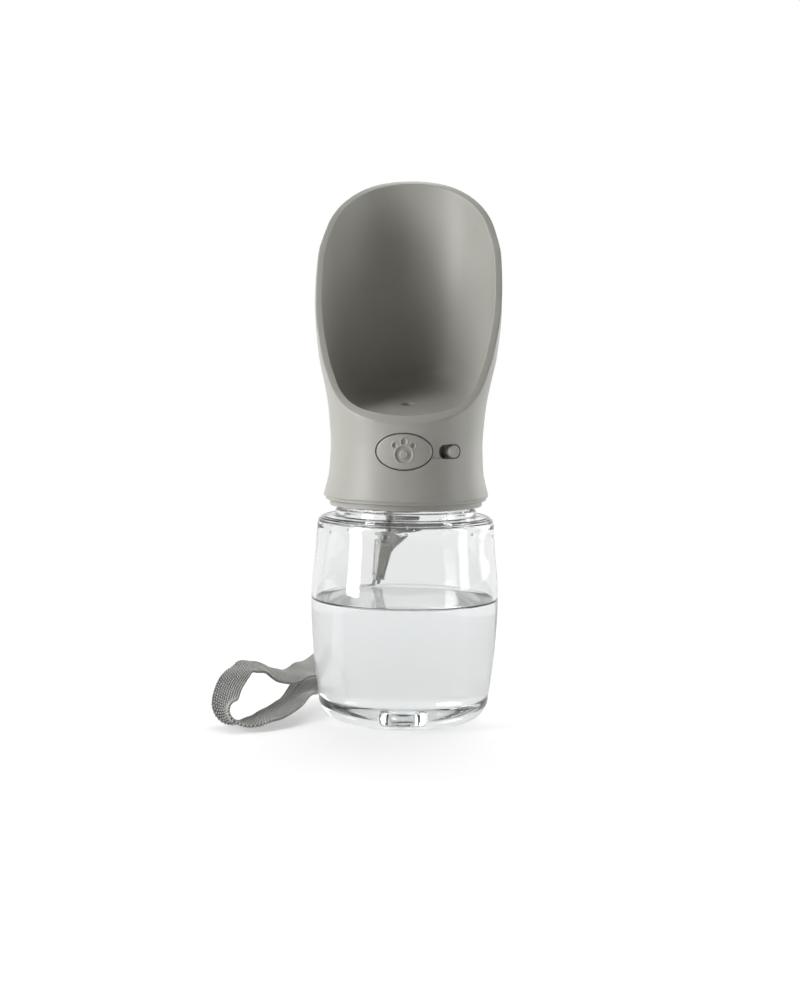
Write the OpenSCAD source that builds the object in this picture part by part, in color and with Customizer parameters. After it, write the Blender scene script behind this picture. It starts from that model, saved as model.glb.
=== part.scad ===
// Dog travel water bottle: a clear screw bottle under a grey head that ends in a tall drinking scoop.
// A push button opens a valve in the head, a knob beside it is the travel lock, and a woven wrist
// strap hangs from a lug at the back. Millimetres. Origin: middle of the base, on the surface that the
// bottle stands on. +Z is up, -Y is the front, where the button is, and +X is to the viewer's right.

/* [Bottle] */
// Largest outer radius of the bottle
bottle_r = 37.2; // [36.6:0.1:38]
// Wall of the bottle
bottle_wall = 1.8; // [1.4:0.1:2.2]
// Radius of the foot ring's outer edge
foot_r = 25; // [23:0.5:26]
// Radius of the bottle's bottom corner
foot_corner = 9; // [8:0.5:9.5]
// Thickness of the base above the foot ring
base_t = 2.6; // [2.2:0.1:3.2]
// Height of the shoulder
shoulder_z = 81.5; // [80:0.5:86]
// Radius of the rounded edge of the shoulder
shoulder_round = 3.5; // [2.5:0.5:4]

/* [Neck and thread] */
// Outer radius of the neck between its threads
neck_r = 26.6; // [26.2:0.1:27]
// Height of the neck above the shoulder
neck_h = 15.5; // [15:0.5:18]
// Radius of the bead under the thread
bead_r = 28; // [27.6:0.1:28.2]
// Thread pitch
pitch = 4; // [3.6:0.2:4.4]
// Number of turns of thread
thread_turns = 1.75; // [1.25:0.25:2]
// How far a thread stands out
thread_h = 1; // [0.8:0.05:1.1]
// Radial clearance between a thread's crest and the other part
thread_gap = 0.35; // [0.25:0.05:0.45]

/* [Head] */
// Height from the skirt's lower edge to the top of the scoop
head_h = 129.3; // [120:0.5:140]
// Outer radius of the waist
waist_r = 30.1; // [29.9:0.1:30.6]
// Outer radius of the scoop
scoop_r = 36.8; // [36:0.1:37.2]
// Outer radius of the skirt's widest edge
skirt_r = 32.6; // [32:0.1:33.4]
// Wall of the scoop
scoop_wall = 2.8; // [2.4:0.1:3.2]
// Wall of the waist
waist_wall = 2.2; // [1.8:0.1:2.4]
// Thickness of the scoop's floor
floor_t = 2.4; // [2:0.1:3]
// Slope of the scoop's floor, rising to the back
floor_slope = 12.5; // [11:0.5:14]
// Radius of the water outlet
outlet_r = 2.6; // [2.2:0.1:3]

/* [Collar, gasket and deck] */
// Height of the collar edge that shows below the skirt
collar_step_h = 2.4; // [2:0.1:2.7]
// Radius of the collar edge that shows below the skirt
collar_step_r = 30.2; // [29.8:0.1:31]
// Wall of the collar
collar_wall = 1.25; // [1.1:0.05:1.3]
// Thickness of the mouth gasket
gasket_t = 1.2; // [1:0.1:1.6]
// Thickness of the deck plate
deck_t = 2; // [1.8:0.1:2.6]

/* [Button] */
// Width of the button
button_w = 21.6; // [20:0.2:23]
// Height of the button
button_h = 14; // [13:0.2:14.8]
// Gap all round the button
button_gap = 0.25; // [0.2:0.05:0.35]
// Height of the button's axis above the deck plate
button_axis_h = 7.8; // [7.8:0.1:8.6]
// Thickness of the button's face
button_face_t = 1.8; // [1.5:0.1:2.2]
// Height of the scoop's floor above the button's axis, on the middle line
floor_rise = 17.4; // [16:0.1:19.5]
// How far the button travels
button_travel = 3; // [2.5:0.1:3.2]
// Depth of the moulded mark
mark_depth = 0.35; // [0.25:0.05:0.5]

/* [Lock] */
// Diameter of the lock knob
knob_d = 4.7; // [4.2:0.1:5]
// Height of the lock slot
slot_h = 5.6; // [5.2:0.1:6]
// Angle of the knob from the front at rest
knob_angle = 38; // [37:0.5:39]
// Angle through which the knob slides
knob_travel = 6; // [5:0.5:6.5]

/* [Valve] */
// Outer radius of the valve body
valve_r = 6.4; // [6.2:0.1:6.6]
// Radius of the valve chambers
chamber_r = 4.8; // [4.5:0.1:5]
// Radius of the valve rod
rod_r = 1.5; // [1.3:0.1:1.7]
// Radius of the hole in the valve seat
seat_r = 2.8; // [2.5:0.1:3]
// Running clearance of the rod and of the button's barrel
slide_gap = 0.06; // [0.05:0.01:0.09]
// Radius of the spring's wire
spring_wire_r = 0.4; // [0.3:0.05:0.5]

/* [Dip tube and weight] */
// Outer diameter of the dip tube
tube_d = 3; // [2.6:0.1:3.2]
// Side of the weight at its top
weight_top = 6.2; // [5.6:0.1:6.8]
// Side of the weight at its tip
weight_tip = 3.9; // [3.7:0.1:4.6]
// Length of the weight
weight_l = 17; // [15:0.5:18]
// Radius of the metal slug in the weight
slug_r = 1.2; // [1:0.1:1.4]

/* [Strap] */
// Width of the webbing
strap_w = 12; // [10:0.5:12.5]
// Thickness of the webbing
strap_t = 1.4; // [1:0.1:1.6]
// Radius of the strap pin
pin_r = 1.05; // [0.9:0.05:1.2]

/* [Hidden] */
$fn = 96;
far = 60;

bottle_grey = [0.93, 0.94, 0.94, 0.35];
head_grey = [0.60, 0.58, 0.56];
seal_white = [0.88, 0.87, 0.84];
steel = [0.72, 0.72, 0.74];
strap_grey = [0.42, 0.41, 0.39];

// Heights that follow from the stack of parts
bead_h = 2.1;
mouth_z = shoulder_z + neck_h;
deck_z = mouth_z + gasket_t;
deck_top = deck_z + deck_t;
step_gap = 2.8;
collar_z = shoulder_z + step_gap;
skirt_z = collar_z + collar_step_h;
head_top = skirt_z + head_h;
press_z = deck_top + button_axis_h;
floor_z = press_z + floor_rise;

// Radii that follow from the neck
neck_bore_r = neck_r - 1.7;
thread_crest_r = neck_r + thread_h;
collar_bore_r = thread_crest_r + thread_gap;
collar_r = collar_bore_r + collar_wall;
fit_gap = 0.05;
skirt_bore_r = collar_r + fit_gap;
waist_bore_r = waist_r - waist_wall;

// A smooth line through points, with n steps between two of them
function between(a, b, c, d, t) = 0.5 * (2 * b + (c - a) * t + (2 * a - 5 * b + 4 * c - d) * t * t
  + (3 * b - a - 3 * c + d) * t * t * t);
function smooth(p, n) = let (last = len(p) - 1) concat(
  [for (i = [0:last - 1]) for (k = [0:n - 1])
    between(p[max(i - 1, 0)], p[i], p[i + 1], p[min(i + 2, last)], k / n)],
  [p[last]]);
function arc(centre, r, from, to, n) =
  [for (k = [0:n]) let (a = from + (to - from) * k / n) centre + r * [cos(a), sin(a)]];
function unit(v) = v / norm(v);
function widened(p, by) = [for (q = p) [q[0] + by, q[1]]];

// Outlines of revolution, as radius and height
shoulder_corner_r = bottle_r - 2.1;
shoulder_centre = [shoulder_corner_r - shoulder_round, shoulder_z - shoulder_round - 0.7];
side_line = [[2, 0.221], [0.9, 0.344], [0, 0.54], [0.3, 0.675], [1.4, 0.81]];
bottle_side = smooth(concat([[foot_r + foot_corner, foot_corner]],
  [for (p = side_line) [bottle_r - p[0], shoulder_z * p[1]]],
  [[shoulder_corner_r, shoulder_z - shoulder_round - 1.2]]), 4);
bottle_line = concat(arc([foot_r, foot_corner], foot_corner, -90, 0, 8), bottle_side,
  arc(shoulder_centre, shoulder_round, 10, 80, 5));

// The head's outline, with its heights as shares of the head's own height
head_line = concat([[skirt_r - 1, skirt_z], [skirt_r, skirt_z + 2.4]],
  smooth([for (p = [[skirt_r - 0.1, 0.024], [waist_r + 1.1, 0.063], [waist_r + 0.4, 0.095],
      [waist_r, 0.155], [waist_r, 0.187], [waist_r + 0.55, 0.247], [waist_r + 1.5, 0.309],
      [waist_r + 3.1, 0.371], [scoop_r - 1.9, 0.431], [scoop_r - 0.9, 0.492], [scoop_r - 0.2, 0.553],
      [scoop_r, 0.61], [scoop_r - 0.1, 0.70], [scoop_r - 0.3, 0.80], [scoop_r - 0.9, 0.864],
      [scoop_r - 2.1, 0.931], [scoop_r - 3.8, 1], [scoop_r - 4.5, 1.03]])
    [p[0], skirt_z + 0.5 + (head_h - 0.5) * p[1]]], 3));

// The rim seen from the side: front at the left, heights as shares of the head's own height
rim_line = smooth([for (p = [[-0.95, 0.228], [-0.828, 0.245], [-0.755, 0.257], [-0.585, 0.287],
    [-0.47, 0.317], [-0.385, 0.352], [-0.335, 0.40], [-0.25, 0.492], [-0.11, 0.60], [0.03, 0.70],
    [0.15, 0.767], [0.242, 0.798], [0.33, 0.831], [0.402, 0.864], [0.492, 0.897], [0.603, 0.931],
    [0.764, 0.974], [0.90, 1.002], [1.05, 1.025]])
  [p[0] * scoop_r, skirt_z + head_h * p[1]]], 2);

// Turns a drawing in (Y, Z) into a bar along X, and puts a bar on the button's axis along Y
module bar_along_x(from, to) { translate([from, 0, 0]) rotate([90, 0, 90]) linear_extrude(to - from) children(); }
module on_press_axis(y) { translate([0, y, press_z]) rotate([-90, 0, 0]) children(); }
module above_floor(drop) {
  translate([0, 0, floor_z - drop / cos(floor_slope)]) rotate([floor_slope, 0, 0])
    translate([-far, -far, 0]) cube([2 * far, 2 * far, 3 * far]);
}
module tube(r_out, r_in, from, to) {
  difference() {
    on_press_axis(from) cylinder(r = r_out, h = to - from);
    on_press_axis(from - 1) cylinder(r = r_in, h = to - from + 2);
  }
}
module ring(r_out, r_in, from, to) {
  difference() {
    translate([0, 0, from]) cylinder(r = r_out, h = to - from);
    translate([0, 0, from - 1]) cylinder(r = r_in, h = to - from + 2);
  }
}
// A piece of a ring between two angles, counted from the front to the viewer's right
module sector(r_in, r_out, from, to, z0, z1) {
  reach = 2 * far;
  difference() {
    intersection() {
      translate([0, 0, z0]) linear_extrude(z1 - z0)
        polygon([[0, 0], reach * [sin(from), -cos(from)], reach * [sin(to), -cos(to)]]);
      translate([0, 0, z0 - 1]) cylinder(r = r_out, h = z1 - z0 + 2);
    }
    translate([0, 0, z0 - 2]) cylinder(r = r_in, h = z1 - z0 + 4);
  }
}
module oval(w, h, from, to) {
  points = 72;
  translate([0, from, press_z]) rotate([-90, 0, 0]) linear_extrude(to - from)
    polygon([for (k = [0:points - 1]) let (a = 360 * k / points) [w / 2 * cos(a), h / 2 * sin(a)]]);
}

// A tube swept through rings of points, closed at both ends
module swept(rings) {
  n = len(rings[0]);
  last = len(rings) - 1;
  polyhedron(
    points = [for (r = rings) for (p = r) p],
    faces = concat(
      [for (i = [0:last - 1]) for (k = [0:n - 1]) let (m = (k + 1) % n)
        [i * n + k, i * n + m, (i + 1) * n + m]],
      [for (i = [0:last - 1]) for (k = [0:n - 1]) let (m = (k + 1) % n)
        [i * n + k, (i + 1) * n + m, (i + 1) * n + k]],
      [[for (k = [n - 1:-1:0]) k], [for (k = [0:n - 1]) last * n + k]]),
    convexity = 10);
}
// One turn of ridge after another, right-handed; its height runs out over a sixth of a turn at each end
steps_per_turn = 36;
ridge_foot = 0.85;
ridge_top = 0.4;
module ridge(foot_r, tip_r, z0, turns) {
  steps = round(steps_per_turn * turns);
  fade = steps_per_turn / 6;
  swept([for (i = [0:steps]) let (
      a = 360 * i / steps_per_turn,
      z = z0 + pitch * i / steps_per_turn,
      share = min(1, (i + 1) / fade, (steps - i + 1) / fade),
      r = foot_r + (tip_r - foot_r) * (0.45 + 0.55 * share))
    [for (q = tip_r > foot_r
        ? [[foot_r, -ridge_foot], [r, -ridge_top], [r, ridge_top], [foot_r, ridge_foot]]
        : [[foot_r, ridge_foot], [r, ridge_top], [r, -ridge_top], [foot_r, -ridge_foot]])
      [q[0] * cos(a), q[0] * sin(a), z + q[1]]]]);
}

// Clear bottle: foot ring, dimpled base, rounded shoulder with two fine ridges, and a threaded neck
foot_ring_w = 3.5;
punt_h = 1.4;
dimple_r = 6.2;
dimple_h = 2.2;
dimple_wall = 1.4;
thread_bite = 0.5;
thread_z = mouth_z - 2 - ridge_foot - pitch * thread_turns;
module bottle_shell() {
  ridge_r = 0.3;
  inside = [for (p = bottle_line) if (p[1] > base_t + 1 && p[1] < shoulder_z - bottle_wall - 0.4)
    [p[0] - bottle_wall, p[1]]];
  low_inside = arc([foot_r, foot_corner], foot_corner - bottle_wall, -78, -40, 5);
  color(bottle_grey) {
    difference() {
      rotate_extrude() polygon(concat(
        [[0, punt_h], [foot_r - foot_ring_w - 2, punt_h], [foot_r - foot_ring_w, 0]],
        bottle_line,
        [[bead_r, shoulder_z], [bead_r, shoulder_z + bead_h], [neck_r, shoulder_z + bead_h + 0.6],
         [neck_r, mouth_z], [neck_bore_r, mouth_z], [neck_bore_r, shoulder_z - bottle_wall]],
        [for (i = [len(inside) - 1:-1:0]) if (inside[i][0] > neck_bore_r) inside[i]],
        [for (i = [len(low_inside) - 1:-1:0]) if (low_inside[i][1] < foot_corner) low_inside[i]],
        [[foot_r - 3, base_t], [dimple_r + dimple_h, base_t],
         [dimple_r, punt_h + dimple_h + dimple_wall], [0, punt_h + dimple_h + dimple_wall]]));
      translate([0, 0, punt_h - 1]) cylinder(r1 = dimple_r + 0.6, r2 = dimple_r - 2, h = dimple_h + 1);
    }
    for (a = [38, 58, 78])
      rotate_extrude() translate(shoulder_centre + shoulder_round * [cos(a), sin(a)])
        circle(r = ridge_r, $fn = 24);
    ridge(neck_r - thread_bite, thread_crest_r, thread_z, thread_turns);
  }
}

// Soft ring that the head presses on the bottle's mouth
module mouth_gasket() {
  color(seal_white) ring(neck_r, neck_bore_r, mouth_z, deck_z);
}

// Head moulding: skirt, waist and scoop in one piece, with the strap's lug at the back
opening_w = button_w + 2 * button_gap;
opening_h = button_h + 2 * button_gap;
socket_r = 4.5;
socket_depth = 3;
boss_wall = 1.7;
boss_gap = 1.6;
boss_from = press_z + valve_r + boss_gap;
socket_cover = 2;
socket_top = floor_z - floor_t - socket_cover;
slot_play = 2;
slot_angle = knob_angle - (knob_travel - slot_play) / 2;
track_from = 17.5;
track_depth = 0.5;
track_inset = 0.15;
lug_y = 34;
lug_z = collar_z + 13.7;
lug_eye_r = 2.8;
ear_t = 2.5;
ear_gap = 0.5;
module lock_slot() {
  run = waist_r * sin((knob_travel + slot_play) / 2);
  rotate([0, 0, slot_angle]) translate([0, -waist_bore_r + 2, press_z]) rotate([90, 0, 0])
    linear_extrude(waist_wall + 5)
      polygon(concat(arc([run, 0], slot_h / 2, -90, 90, 16), arc([-run, 0], slot_h / 2, 90, 270, 16)));
}
module strap_lug() {
  for (side = [-1, 1])
    translate([side * (strap_w / 2 + ear_gap + ear_t / 2), 0, 0]) bar_along_x(-ear_t / 2, ear_t / 2) {
      translate([lug_y, lug_z]) circle(r = lug_eye_r);
      polygon([[waist_r - 1, lug_z + 7], [lug_y + 0.9, lug_z + 2.65], [lug_y + 0.9, lug_z - 2.65],
        [waist_r - 1, lug_z - 7]]);
    }
}
module head_shell() {
  inner_scoop = widened(head_line, -scoop_wall);
  inner_waist = widened(head_line, -waist_wall);
  last = head_line[len(head_line) - 1];
  color(head_grey) difference() {
    union() {
      rotate_extrude() polygon(concat([[0, skirt_z]], head_line, [[0, last[1]]]));
      strap_lug();
    }
    bar_along_x(-far, far) polygon(concat(rim_line, [[far, last[1]], [far, head_top + far],
      [-far, head_top + far], [-far, rim_line[0][1]]]));
    intersection() {
      rotate_extrude() polygon(concat([[0, skirt_z]], inner_scoop, [[0, last[1]]]));
      above_floor(0);
    }
    difference() {
      intersection() {
        rotate_extrude() polygon(concat([[0, deck_top]],
          [for (p = inner_waist) if (p[1] > deck_top + 6) p], [[0, last[1]]]));
        translate([0, 0, deck_top]) cylinder(r = far, h = floor_z);
      }
      above_floor(floor_t);
      translate([0, 0, boss_from]) cylinder(r = socket_r + boss_wall, h = far);
    }
    translate([0, 0, deck_top - 0.01]) cylinder(r = waist_bore_r, h = 8);
    translate([0, 0, skirt_z - 1]) cylinder(r = skirt_bore_r, h = deck_top - skirt_z + 1);
    translate([0, 0, boss_from - 1]) cylinder(r = socket_r, h = socket_top - boss_from + 1);
    translate([0, 0, socket_top - 1]) cylinder(r = outlet_r, h = far);
    oval(opening_w, opening_h, -waist_r - 5, -waist_bore_r + 8);
    lock_slot();
    sector(waist_r - track_depth, waist_r + 3, track_from, slot_angle,
      press_z - slot_h / 2 + track_inset, press_z + slot_h / 2 - track_inset);
    translate([-far, lug_y, lug_z]) rotate([0, 90, 0]) cylinder(r = pin_r + fit_gap, h = 2 * far);
  }
}

// Threaded ring bonded into the skirt; its lower edge shows as a second, smaller step
module thread_collar() {
  color(head_grey) {
    difference() {
      union() {
        translate([0, 0, collar_z]) cylinder(r = collar_step_r, h = collar_step_h);
        translate([0, 0, collar_z]) cylinder(r = collar_r, h = deck_z - collar_z);
      }
      translate([0, 0, collar_z - 1]) cylinder(r = collar_bore_r, h = deck_z - collar_z + 2);
    }
    ridge(collar_bore_r + thread_bite, collar_bore_r - thread_h, thread_z - pitch / 2, thread_turns);
  }
}

// Plate that closes the mouth and carries the valve; the dip tube hangs from the boss under it
inlet_x = -6.5;
inlet_y = -7.5;
inlet_r = 1.6;
inlet_boss_r = 3.2;
tube_boss_r = 2.6;
tube_boss_h = 5.2;
vent_x = 14;
vent_y = 11;
vent_r = 1.5;
screw_x = 11;
screw_y = -1.5;
screw_r = 1.25;
screw_head_r = 2.2;
screw_bite = 1.6;
tube_top_z = deck_z - tube_boss_h;
module deck_plate() {
  color(head_grey) difference() {
    union() {
      translate([0, 0, deck_z]) cylinder(r = collar_r, h = deck_t);
      translate([inlet_x, inlet_y, tube_top_z]) cylinder(r = tube_boss_r, h = tube_boss_h + 0.5);
    }
    translate([inlet_x, inlet_y, tube_top_z - 1]) cylinder(r = tube_d / 2 - 0.5, h = far);
    translate([vent_x, vent_y, deck_z - 1]) cylinder(r = vent_r, h = deck_t + 2);
    for (side = [-1, 1]) translate([side * screw_x, screw_y, deck_top - screw_bite])
      cylinder(r = screw_r + fit_gap, h = far);
  }
}

// Valve body: wet chamber in front, seat, outlet chamber behind, and the riser to the scoop's floor
valve_front = -15;
seal_pocket_r = 3;
seal_pocket_l = 1.8;
inlet_chamber_y = -12.5;
seat_front_y = -5;
seat_back_y = -3.5;
valve_back = 5;
plug_l = 1.5;
foot_t = 2;
foot_half_x = 14;
foot_front_y = -10.5;
foot_back_y = 5;
riser_r = 3.4;
riser_top = socket_top;
module valve_body() {
  color(seal_white) difference() {
    union() {
      on_press_axis(valve_front) cylinder(r = valve_r, h = valve_back - valve_front);
      translate([-foot_half_x, foot_front_y, deck_top])
        cube([2 * foot_half_x, foot_back_y - foot_front_y, foot_t]);
      translate([0, 0, press_z]) cylinder(r = riser_r, h = riser_top - press_z);
      translate([inlet_x, inlet_y, deck_top]) cylinder(r = inlet_boss_r, h = press_z + 2.6 - deck_top);
    }
    on_press_axis(valve_front - 1) cylinder(r = seal_pocket_r, h = seal_pocket_l + 1);
    on_press_axis(valve_front) cylinder(r = rod_r + slide_gap, h = 5);
    on_press_axis(inlet_chamber_y) cylinder(r = chamber_r, h = seat_front_y - inlet_chamber_y);
    on_press_axis(seat_front_y - 1) cylinder(r = seat_r, h = 3);
    on_press_axis(seat_back_y) cylinder(r = chamber_r, h = valve_back - seat_back_y + 1);
    translate([0, 0, press_z]) cylinder(r = outlet_r, h = riser_top - press_z + 1);
    translate([inlet_x, inlet_y, deck_top - 1]) cylinder(r = inlet_r, h = press_z - deck_top + 1);
    translate([inlet_x, inlet_y, press_z]) rotate([0, 90, 0]) cylinder(r = inlet_r, h = -inlet_x);
    for (side = [-1, 1]) translate([side * screw_x, screw_y, deck_top - 1])
      cylinder(r = screw_r + fit_gap, h = foot_t + 2);
  }
}

// Plug that closes the back of the outlet chamber
module valve_end_cap() {
  color(seal_white) {
    on_press_axis(valve_back) cylinder(r = valve_r, h = plug_l);
    on_press_axis(valve_back - plug_l) cylinder(r = chamber_r, h = plug_l + 0.5);
  }
}

module valve_screws() {
  color(steel) for (side = [-1, 1]) translate([side * screw_x, screw_y, 0]) difference() {
    union() {
      translate([0, 0, deck_top - screw_bite]) cylinder(r = screw_r, h = screw_bite + foot_t + 0.1);
      translate([0, 0, deck_top + foot_t]) cylinder(r = screw_head_r, h = 1.4);
    }
    for (turn = [0, 90]) translate([0, 0, deck_top + foot_t + 1.1]) rotate([0, 0, turn])
      cube([2.6, 0.6, 1.4], center = true);
  }
}

// Rubber ring round the top of the riser, in the socket under the scoop's floor
module outlet_grommet() {
  color(seal_white) ring(socket_r - fit_gap, riser_r, riser_top - socket_depth, riser_top);
}

module rod_seal() {
  color([0.2, 0.2, 0.2])
    tube(seal_pocket_r, rod_r + slide_gap, valve_front, valve_front + seal_pocket_l - 0.1);
}

// Sleeve that guides the button's barrel and carries the spring, slipped over the valve body's front
barrel_r = 5.2;
barrel_wall = 1.2;
guide_wall = 1.3;
guide_inset = 8.1;
guide_front = -waist_r + guide_inset;
guide_base_t = 1;
guide_skirt_back = -11;
module guide_ring(r_in, from, to) { tube(r_in + guide_wall, r_in, from, to); }
module button_guide() {
  bore = barrel_r + slide_gap;
  color(head_grey) union() {
    guide_ring(bore, guide_front, valve_front - guide_base_t + 0.2);
    tube(valve_r + fit_gap + guide_base_t, rod_r + 0.4, valve_front - guide_base_t, valve_front);
    tube(valve_r + fit_gap + guide_base_t, valve_r + fit_gap, valve_front - 0.2, guide_skirt_back);
  }
}

// Button: domed oval face with a moulded paw mark, a skirt, two stop ears and a barrel for the spring
face_y = -waist_r - 0.25;
face_back = face_y + button_face_t;
skirt_back = guide_front - button_travel - 0.3;
cap_wall = 1.4;
barrel_back = valve_front - guide_base_t - button_travel - 0.4;
module paw_mark() {
  pad_r = 3.2;
  pad_dot_r = 1.4;
  toes = [[0, 3.9, 1.15], [-3.4, 2.5, 0.9], [3.4, 2.5, 0.9]];
  on_press_axis(-far) linear_extrude(far) mirror([0, 1]) {
    translate([0, -1]) difference() { circle(r = pad_r); circle(r = pad_dot_r); }
    for (t = toes) translate([t[0], t[1]]) circle(r = t[2]);
  }
}
module button_cap() {
  face_r = -face_y;
  dome_r = 75;
  ear_reach = 1.6;
  ear_clear = 0.6;
  ear_t_y = 1.5;
  ear_h = 7;
  ear_overlap = 0.2;
  ear_y = -sqrt(pow(waist_bore_r - ear_clear, 2) - pow(button_w / 2 + ear_reach, 2));
  stop_y = -waist_bore_r + 1;
  stop_reach = 1.3;
  color(head_grey) difference() {
    union() {
      intersection() {
        difference() {
          oval(button_w, button_h, -far, skirt_back);
          oval(button_w - 2 * cap_wall, button_h - 2 * cap_wall, face_back, skirt_back + 1);
        }
        translate([0, 0, press_z - far]) cylinder(r = face_r, h = 2 * far);
        translate([0, face_y + dome_r, press_z]) sphere(r = dome_r);
      }
      tube(barrel_r, barrel_r - barrel_wall, face_back - 0.1, barrel_back);
      translate([-button_w / 2 - ear_reach, ear_y, press_z - ear_h / 2])
        cube([cap_wall + ear_reach + ear_overlap, ear_t_y, ear_h]);
      translate([-button_w / 2 + ear_overlap, skirt_back - ear_overlap, press_z - ear_h / 2])
        cube([cap_wall, ear_y + ear_t_y - skirt_back + ear_overlap, ear_h]);
      translate([-ear_h / 2, stop_y, press_z + button_h / 2 - cap_wall])
        cube([ear_h, ear_t_y, cap_wall + stop_reach]);
    }
    intersection() {
      paw_mark();
      ring(face_r + 2, face_r - mark_depth, press_z - far, press_z + far);
    }
  }
}

// Rod from the button through the seal and the seat; its head holds the valve seal from behind
seal_t = 1.4;
rod_head_r = 2.4;
rod_head_t = 1.2;
module valve_rod() {
  seal_back = seat_back_y + seal_t;
  color(steel) {
    on_press_axis(face_back) cylinder(r = rod_r, h = seal_back - face_back + 0.2);
    on_press_axis(seal_back) cylinder(r = rod_head_r, h = rod_head_t);
  }
}

module valve_seal() {
  color([0.2, 0.2, 0.2]) tube(chamber_r - 0.8, rod_r, seat_back_y, seat_back_y + seal_t);
}

// Return spring inside the button's barrel
spring_turns = 6;
spring_ring_steps = 14;
module button_spring() {
  wire = spring_wire_r;
  coil_r = barrel_r - barrel_wall - wire - 0.4;
  from = face_back + wire + 0.1;
  to = valve_front - guide_base_t - wire - 0.1;
  steps = spring_turns * spring_ring_steps;
  color(steel) translate([0, 0, press_z])
    swept([for (i = [0:steps]) let (a = 360 * i / spring_ring_steps)
      [for (k = [5:-1:0]) let (b = 60 * k, r = coil_r + wire * cos(b))
        [r * cos(a), from + (to - from) * i / steps + wire * sin(b), r * sin(a)]]]);
}

// Lock: a knob in the arc slot, on a slider that a retainer keeps against the inside of the waist
slider_r = waist_bore_r - 0.3;
slider_t = 2;
slider_half_h = 4;
slider_lead = 2.6;
slider_tail = 14;
module lock_knob() {
  post_r = 1.2;
  z = press_z;
  color(head_grey) rotate([0, 0, knob_angle]) difference() {
    union() {
      translate([0, -slider_r, z]) rotate([90, 0, 0]) cylinder(r = knob_d / 2, h = waist_r + 1.2 - slider_r);
      translate([0, -slider_r + slider_t, z]) rotate([90, 0, 0]) cylinder(r = post_r, h = slider_t + 1);
    }
    difference() {
      translate([0, 0, z - far]) cylinder(r = slider_r + 0.05, h = 2 * far);
      translate([0, -slider_r + slider_t - 1, z]) rotate([90, 0, 0]) cylinder(r = post_r, h = slider_t + 1);
    }
  }
}
module lock_slider() {
  z = press_z;
  color(head_grey) difference() {
    sector(slider_r - slider_t, slider_r, knob_angle - slider_lead - 1, knob_angle + slider_tail,
      z - slider_half_h, z + slider_half_h);
    rotate([0, 0, knob_angle]) translate([0, -slider_r + slider_t + 1, z]) rotate([90, 0, 0])
      cylinder(r = 1.2, h = slider_t + 3);
  }
}
retainer_from = 28;
retainer_to = knob_angle + slider_tail + 2;
module lock_retainer() {
  z = press_z;
  in_r = slider_r - slider_t - 0.3;
  back_t = 0.9;
  edge = slider_half_h + 0.3;
  rail = 1.2;
  color(head_grey) difference() {
    sector(in_r - back_t, waist_bore_r - 2 * fit_gap, retainer_from, retainer_to + 2 * rail,
      z - edge - rail, z + edge + rail);
    sector(in_r, waist_r, retainer_from - 5, retainer_to, z - edge, z + edge);
  }
}

// Rubber mushroom that lets air in through the deck plate and keeps water from coming out
module vent_valve() {
  color([0.2, 0.2, 0.2]) translate([vent_x, vent_y, 0]) {
    translate([0, 0, deck_z - 0.8]) cylinder(r = 4, h = 0.8);
    translate([0, 0, deck_z - 0.1]) cylinder(r = vent_r - fit_gap, h = deck_t + 0.2);
    translate([0, 0, deck_top]) cylinder(r1 = 2.1, r2 = 1.2, h = 1.4);
  }
}

// Dip tube: hangs from its boss and bends back to the weight's top
weight_at = [-9.5, 21, 68];
weight_lean = [20, 10, 0];
weight_turn = 31;
weight_down = [-cos(weight_lean[0]) * sin(weight_lean[1]), sin(weight_lean[0]),
  -cos(weight_lean[0]) * cos(weight_lean[1])];
tube_route = [[inlet_x, inlet_y, tube_top_z], [-6.5, -7.5, 89], [-6.4, -6.6, 84], [-6.2, -4, 79.5],
  [-6.3, 0, 76.7], [-6.8, 5, 75], [-7.5, 10, 74], [-8.1, 14, 73.3], [-8.6, 17.2, 72.4],
  weight_at - 3 * weight_down, weight_at];
module dip_tube() {
  sides = 8;
  line = smooth(tube_route, 3);
  last = len(line) - 1;
  color([0.9, 0.92, 0.92, 0.5]) swept([for (i = [0:last]) let (
      along = i == 0 ? [0, 0, -1] : i == last ? weight_down : unit(line[i + 1] - line[i - 1]),
      side = unit(cross(along, [1, 0, 0])),
      up = cross(side, along))
    [for (k = [0:sides - 1]) let (a = 360 * k / sides)
      line[i] + tube_d / 2 * (cos(a) * side + sin(a) * up)]]);
}

// Tapered weight with a panel sunk in each face, moulded round a metal slug
module on_weight() { translate(weight_at) rotate(weight_lean) rotate([0, 0, weight_turn]) children(); }
module tube_weight() {
  panel_depth = 0.35;
  slope = atan((weight_top - weight_tip) / 2 / weight_l);
  color(head_grey) on_weight() difference() {
    translate([0, 0, -weight_l])
      linear_extrude(weight_l, scale = weight_top / weight_tip) square(weight_tip, center = true);
    translate([0, 0, -weight_l - 1]) cylinder(r = slug_r, h = weight_l - 3 + 1, $fn = 32);
    for (turn = [0:90:270]) rotate([0, 0, turn]) translate([0, -weight_top / 2, 0])
      rotate([slope, 0, 0]) translate([-weight_tip / 2 + 0.9, -2, -weight_l + 2])
        cube([weight_tip - 1.8, 2 + panel_depth, weight_l - 4]);
  }
}
module weight_slug() {
  color(steel) on_weight() translate([0, 0, -weight_l]) cylinder(r = slug_r, h = weight_l - 3, $fn = 32);
}

module strap_pin() {
  half = strap_w / 2 + ear_gap + ear_t;
  color(steel) translate([-half, lug_y, lug_z]) rotate([0, 90, 0]) cylinder(r = pin_r, h = 2 * half);
}

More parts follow.
